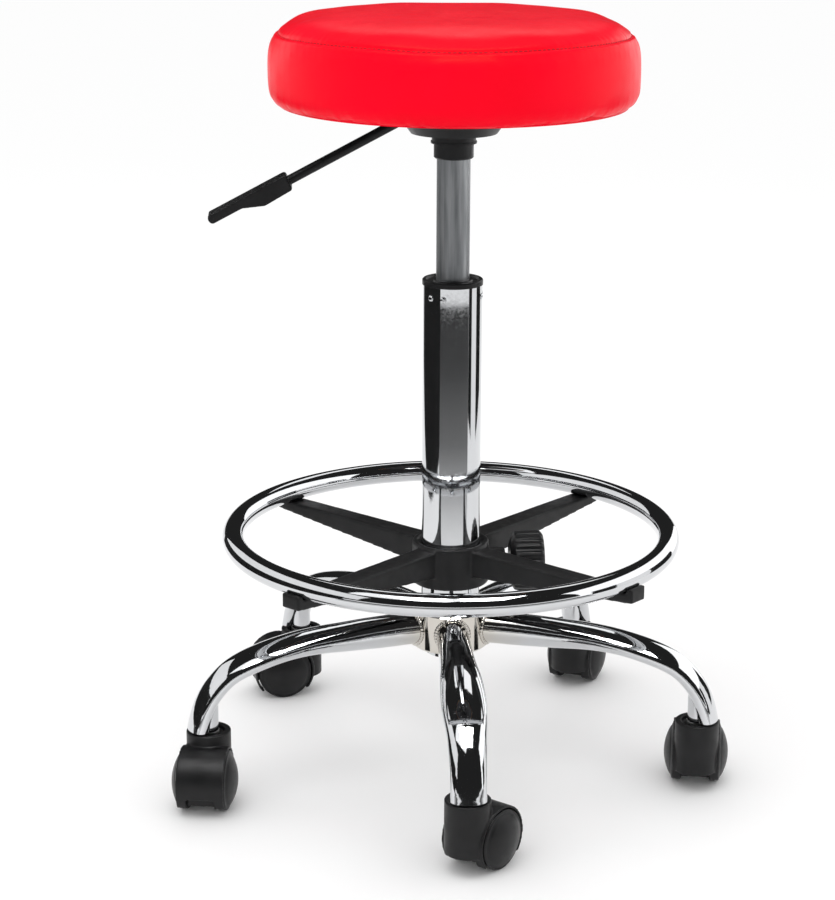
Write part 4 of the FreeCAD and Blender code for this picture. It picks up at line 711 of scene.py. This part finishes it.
def knob():
    """The clamp knob: a rounded disc with flutes round its side and a shallow dish in its face."""
    low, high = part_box("clamp_knob")
    rim = (high.z - low.z) / 2
    length = high.x - low.x

    def fluted(angle, radius, height):
        """The radius, less the flute's depth near the side."""
        turned = (angle * FLUTES / math.tau + 0.5) % 1 - 0.5
        off = turned * math.tau / FLUTES * rim
        depth = max(0, math.sqrt(max(FLUTE_RADIUS ** 2 - off ** 2, 0)) - FLUTE_OFFSET)
        near = max(0, min(1, (radius - rim * FLUTE_START) / (rim * FLUTE_RUN)))
        risen = max(0, min(1, (height - KNOB_BEVEL * 0.6) / KNOB_BEVEL))
        return radius - depth * near * risen

    path = rounded([
        (0, 0, 0),
        (rim * 0.62, 0, KNOB_ROUND),
        (rim - 0.6 * MM, KNOB_BEVEL, 2.5 * MM),
        (rim, length * 0.5, 0),
        (rim, length, 5 * MM),
        (rim * 0.72, length, KNOB_ROUND),
        (rim * 0.6, length - 1.6 * MM, KNOB_ROUND),
        (0, length - KNOB_DISH, 0),
    ])
    piece = lathe("clamp_knob_grip", path, "black_plastic", segments=FLUTES * 16, shape=fluted)
    centre = middle("clamp_knob")
    piece.matrix_world = upright_to(Vector((1, 0, 0)), Vector((low.x, centre.y, centre.z)))
    settle(piece, "knob", "black_plastic", "clamp_knob")


def mouldings():
    """The spider and the lever's handle."""
    spider = moulded("spider", "ring_spider", SPIDER_VOXEL, 4, "black_nylon")
    settle(spider, "foot_rest", "black_nylon", "ring_spider")
    handle = moulded("lever_grip", "lever_handle", HANDLE_VOXEL, 8, "black_plastic")
    settle(handle, "lever", "black_plastic", "lever_handle")


# ---------------------------------------------------------------- rivets and welds
RIVET_BEARINGS = [first + offset for first in (310, 70, 190) for offset in (0, 28)]
RIVET_RADIUS = 2.6 * MM
RIVET_DEPTH = 3.6 * MM
RIVET_STEP = 0.2 * MM
RIVET_DOME = 0.9 * MM
RIVET_SIDES = 24
DOME_STEPS = 6
COLUMN_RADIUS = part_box("column_tube")[1].x
HUB_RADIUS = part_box("base_hub")[1].x
LEGS = 5
LEG_RADIUS = 14 * MM
LEG_LEVEL = middle("base_hub").z
BEAD = 1.9 * MM
BEAD_RINGS, BEAD_SIDES = 120, 10
BEAD_RIPPLES = 34


def joined(name, parts, finish):
    """One piece from several lists of points and faces."""
    points, faces = [], []
    for some_points, some_faces in parts:
        start = len(points)
        points += some_points
        faces += [tuple(start + index for index in face) for face in some_faces]
    return from_points(name, points, faces, finish)


def rivet(bearing):
    """A low domed rivet head on the column, and its shank."""
    outward = upright_to(heading(bearing), Vector((0, 0, middle("bush_rivets").z)))
    path = [(RIVET_RADIUS, COLUMN_RADIUS - RIVET_DEPTH), (RIVET_RADIUS, COLUMN_RADIUS + RIVET_STEP)]
    for step in range(1, DOME_STEPS + 1):
        turn = math.pi / 2 * step / DOME_STEPS
        rise = RIVET_STEP + RIVET_DOME * math.sin(turn)
        path.append((RIVET_RADIUS * math.cos(turn), COLUMN_RADIUS + rise))
    points = []
    for radius, height in path:
        for side in range(RIVET_SIDES):
            turn = math.tau * side / RIVET_SIDES
            points.append(outward @ Vector((radius * math.cos(turn), radius * math.sin(turn), height)))
    faces = grid(0, len(path), RIVET_SIDES)
    faces.append(tuple(range(RIVET_SIDES - 1, -1, -1)))
    return points, faces


def weld(bearing):
    """The weld bead where a leg's round end meets the hub's side, with the ripples of a hand weld."""
    outward, across = heading(bearing), heading(bearing + 90)
    points = []
    for ring in range(BEAD_RINGS):
        turn = math.tau * ring / BEAD_RINGS
        aside, rise = LEG_RADIUS * math.sin(turn), LEG_RADIUS * math.cos(turn)
        reach = math.sqrt(HUB_RADIUS ** 2 - aside ** 2)
        centre = outward * reach + across * aside + Vector((0, 0, LEG_LEVEL + rise))
        from_leg = (across * math.sin(turn) + Vector((0, 0, math.cos(turn)))).normalized()
        uneven = noise.noise((bearing, turn * 3, 2))
        thick = BEAD * (1 + 0.1 * math.sin(turn * BEAD_RIPPLES) + 0.08 * uneven)
        for side in range(BEAD_SIDES):
            spin = math.tau * side / BEAD_SIDES
            points.append(centre + (from_leg * math.cos(spin) + outward * math.sin(spin)) * thick)
    return points, grid(0, BEAD_RINGS, BEAD_SIDES, closed=True)


def rivets_and_welds():
    """The column's rivet heads and the beads that join the legs to the hub."""
    heads = joined("rivet_heads", [rivet(bearing) for bearing in RIVET_BEARINGS], "chrome")
    settle(heads, "base", "chrome", "bush_rivets")
    beads = joined("weld_beads", [weld(index * 360 / LEGS) for index in range(LEGS)], "warm_centre_chrome")
    settle(beads, "base", "chrome")


# ---------------------------------------------------------------- stage
CAMERA_BEARING = -4.0
CAMERA_DISTANCE = 1.9085
CAMERA_HEIGHT = 0.8323
CAMERA_PITCH = math.radians(15.99)
CAMERA_ROLL = math.radians(0.466)
SENSOR = 36
FOCAL = 93.19
AXIS_SHIFT = -0.0376
FLOOR_REACH = 30
ABOVE_FLOOR = 0.001
CARD_TOP = 0.4
SECTOR_STEPS = 24
SECTOR_RISE = 0.003
UNLIT = 0.02


def camera():
    """The view: a long lens from just left of the front, looking down a little."""
    toward = heading(CAMERA_BEARING)
    right = Vector((-toward.y, toward.x, 0))
    up = -toward * math.sin(CAMERA_PITCH) + Vector((0, 0, math.cos(CAMERA_PITCH)))
    back = toward * math.cos(CAMERA_PITCH) + Vector((0, 0, math.sin(CAMERA_PITCH)))
    cosine, sine = math.cos(CAMERA_ROLL), math.sin(CAMERA_ROLL)
    columns = (right * cosine + up * sine, up * cosine - right * sine, back)
    turned = Matrix(columns).transposed().to_4x4()
    lens = bpy.data.cameras.new("camera")
    lens.sensor_width = SENSOR
    lens.lens = FOCAL
    lens.shift_x = AXIS_SHIFT
    view = bpy.data.objects.new("camera", lens)
    view.matrix_world = Matrix.Translation(toward * CAMERA_DISTANCE + Vector((0, 0, CAMERA_HEIGHT))) @ turned
    SCENE.collection.objects.link(view)
    SCENE.camera = view


def plain(name, colour, roughness=0.6, glow=0.0):
    """A stage material."""
    material = surface(name, colour, roughness)
    shader = material.node_tree.nodes["Principled BSDF"]
    shader.inputs["Emission Color"].default_value = (*colour, 1)
    shader.inputs["Emission Strength"].default_value = glow
    return material


def floor():
    """A pale level floor."""
    MATERIALS["floor"] = plain("floor", (0.96, 0.96, 0.96), 0.8)
    MATERIALS["floor"].node_tree.nodes["Principled BSDF"].inputs["Specular IOR Level"].default_value = 0
    corners = [(i * FLOOR_REACH, j * FLOOR_REACH, 0) for i, j in ((-1, -1), (1, -1), (1, 1), (-1, 1))]
    from_points("floor", corners, [(0, 1, 2, 3)], "floor")


def card(name, corners, level):
    """A studio card that only mirror-like surfaces see."""
    MATERIALS[name] = plain(name, (level, level, level), 1.0, glow=1.0 if level > UNLIT else 0.0)
    unseen(from_points(name, corners, [(0, 1, 2, 3)], name))


def unseen(piece):
    """Show a stage piece only to mirror-like surfaces."""
    piece.visible_camera = False
    piece.visible_diffuse = False
    piece.visible_shadow = False
    piece.visible_transmission = False


def graded_card(name, first, last, stops):
    """A sector just above the floor between two bearings, whose level changes outwards from the axis."""
    bearings = [first + (last - first) * step / SECTOR_STEPS for step in range(SECTOR_STEPS + 1)]
    near, far = stops[0][0], stops[-1][0]
    rise = Vector((0, 0, SECTOR_RISE))
    points = [heading(bearing) * reach + rise for reach in (near, far) for bearing in bearings]
    faces = [(s, s + 1, s + SECTOR_STEPS + 2, s + SECTOR_STEPS + 1) for s in range(SECTOR_STEPS)]
    MATERIALS[name] = plain(name, (0, 0, 0), 1.0, glow=1.0)
    unseen(from_points(name, points, faces, name))
    tree = MATERIALS[name].node_tree
    spread = tree.nodes.new("ShaderNodeMapRange")
    spread.inputs["From Min"].default_value = near
    spread.inputs["From Max"].default_value = far
    tree.links.new(distance_from_axis(tree), spread.inputs["Value"])
    levels = [((reach - near) / (far - near), (level, level, level)) for reach, level in stops]
    glow = tree.nodes["Principled BSDF"].inputs["Emission Color"]
    tree.links.new(colour_ramp(tree, spread.outputs["Result"], levels), glow)


def upright_card(name, x, near, far, bottom, top, level):
    """A card that stands along Y."""
    card(name, [(x, near, bottom), (x, far, bottom), (x, far, top), (x, near, top)], level)


def level_card(name, x, y, z, width, depth, level):
    """A level card centred at a place."""
    corners = [(x + i * width / 2, y + j * depth / 2, z) for i, j in ((-1, -1), (1, -1), (1, 1), (-1, 1))]
    card(name, corners, level)


def cards():
    """The dark and light cards round the stool that give the chrome its dark bands and its highlights."""
    upright_card("card_left", -0.81, -0.65, 1.3, ABOVE_FLOOR, CARD_TOP, 0.003)
    upright_card("card_right", 1.06, -0.56, 0.8, ABOVE_FLOOR, CARD_TOP, 0.004)
    upright_card("card_strip", 1.04, -0.26, 0.2, ABOVE_FLOOR, CARD_TOP, 0.5)
    upright_card("wall_left", -1.7, -1.6, 3.0, 0.5, 2.0, 0.5)
    upright_card("wall_right", 1.9, -1.2, 4.0, ABOVE_FLOOR, 2.0, 0.75)
    stops = [(0.6, 1.0), (0.73, 0.75), (0.87, 0.42), (1.05, 0.17), (1.46, 0.05), (1.9, 0.03)]
    graded_card("card_front", -54, 62, stops)
    level_card("card_box_left", -0.42, -0.85, 2.2, 0.7, 1.2, 4.5)
    level_card("card_box_right", 0.42, -0.85, 2.2, 0.7, 1.2, 4.5)


def softbox(name, place, target, width, height, power):
    """A soft studio light aimed at a point."""
    lamp = bpy.data.lights.new(name, "AREA")
    lamp.shape = "RECTANGLE"
    lamp.size = width
    lamp.size_y = height
    lamp.energy = power
    light = bpy.data.objects.new(name, lamp)
    light.location = place
    light.rotation_mode = "QUATERNION"
    light.rotation_quaternion = (Vector(target) - Vector(place)).to_track_quat("-Z", "Y")
    SCENE.collection.objects.link(light)


def lighting():
    """A soft overhead key, a weak light from behind and an even surround that mirrors hardly see."""
    softbox("key", (-0.5, -0.7, 2.2), (0, 0, 0.3), 1.6, 1.3, 9)
    softbox("back", (0.2, 1.8, 1.9), (0, 0, 0.4), 1.2, 0.6, 3)
    world = bpy.data.worlds.new("surround")
    world.use_nodes = True
    SCENE.world = world
    tree = world.node_tree
    tree.nodes.clear()
    rays = tree.nodes.new("ShaderNodeLightPath")
    shader = None
    for kind, strength in (("", 1.02), ("Is Glossy Ray", 0.02), ("Is Camera Ray", 1.0)):
        glow = tree.nodes.new("ShaderNodeBackground")
        glow.inputs["Strength"].default_value = strength
        glow.inputs["Color"].default_value = (1, 1, 1, 1)
        if shader is None:
            shader = glow.outputs["Background"]
            continue
        mix = tree.nodes.new("ShaderNodeMixShader")
        tree.links.new(rays.outputs[kind], mix.inputs["Fac"])
        tree.links.new(shader, mix.inputs[1])
        tree.links.new(glow.outputs["Background"], mix.inputs[2])
        shader = mix.outputs["Shader"]
    output = tree.nodes.new("ShaderNodeOutputWorld")
    tree.links.new(shader, output.inputs["Surface"])
    SCENE.view_settings.view_transform = "Standard"


camera()
floor()
cards()
lighting()
stitching(cushion())
casters()
foot_ring()
knob()
mouldings()
rivets_and_welds()
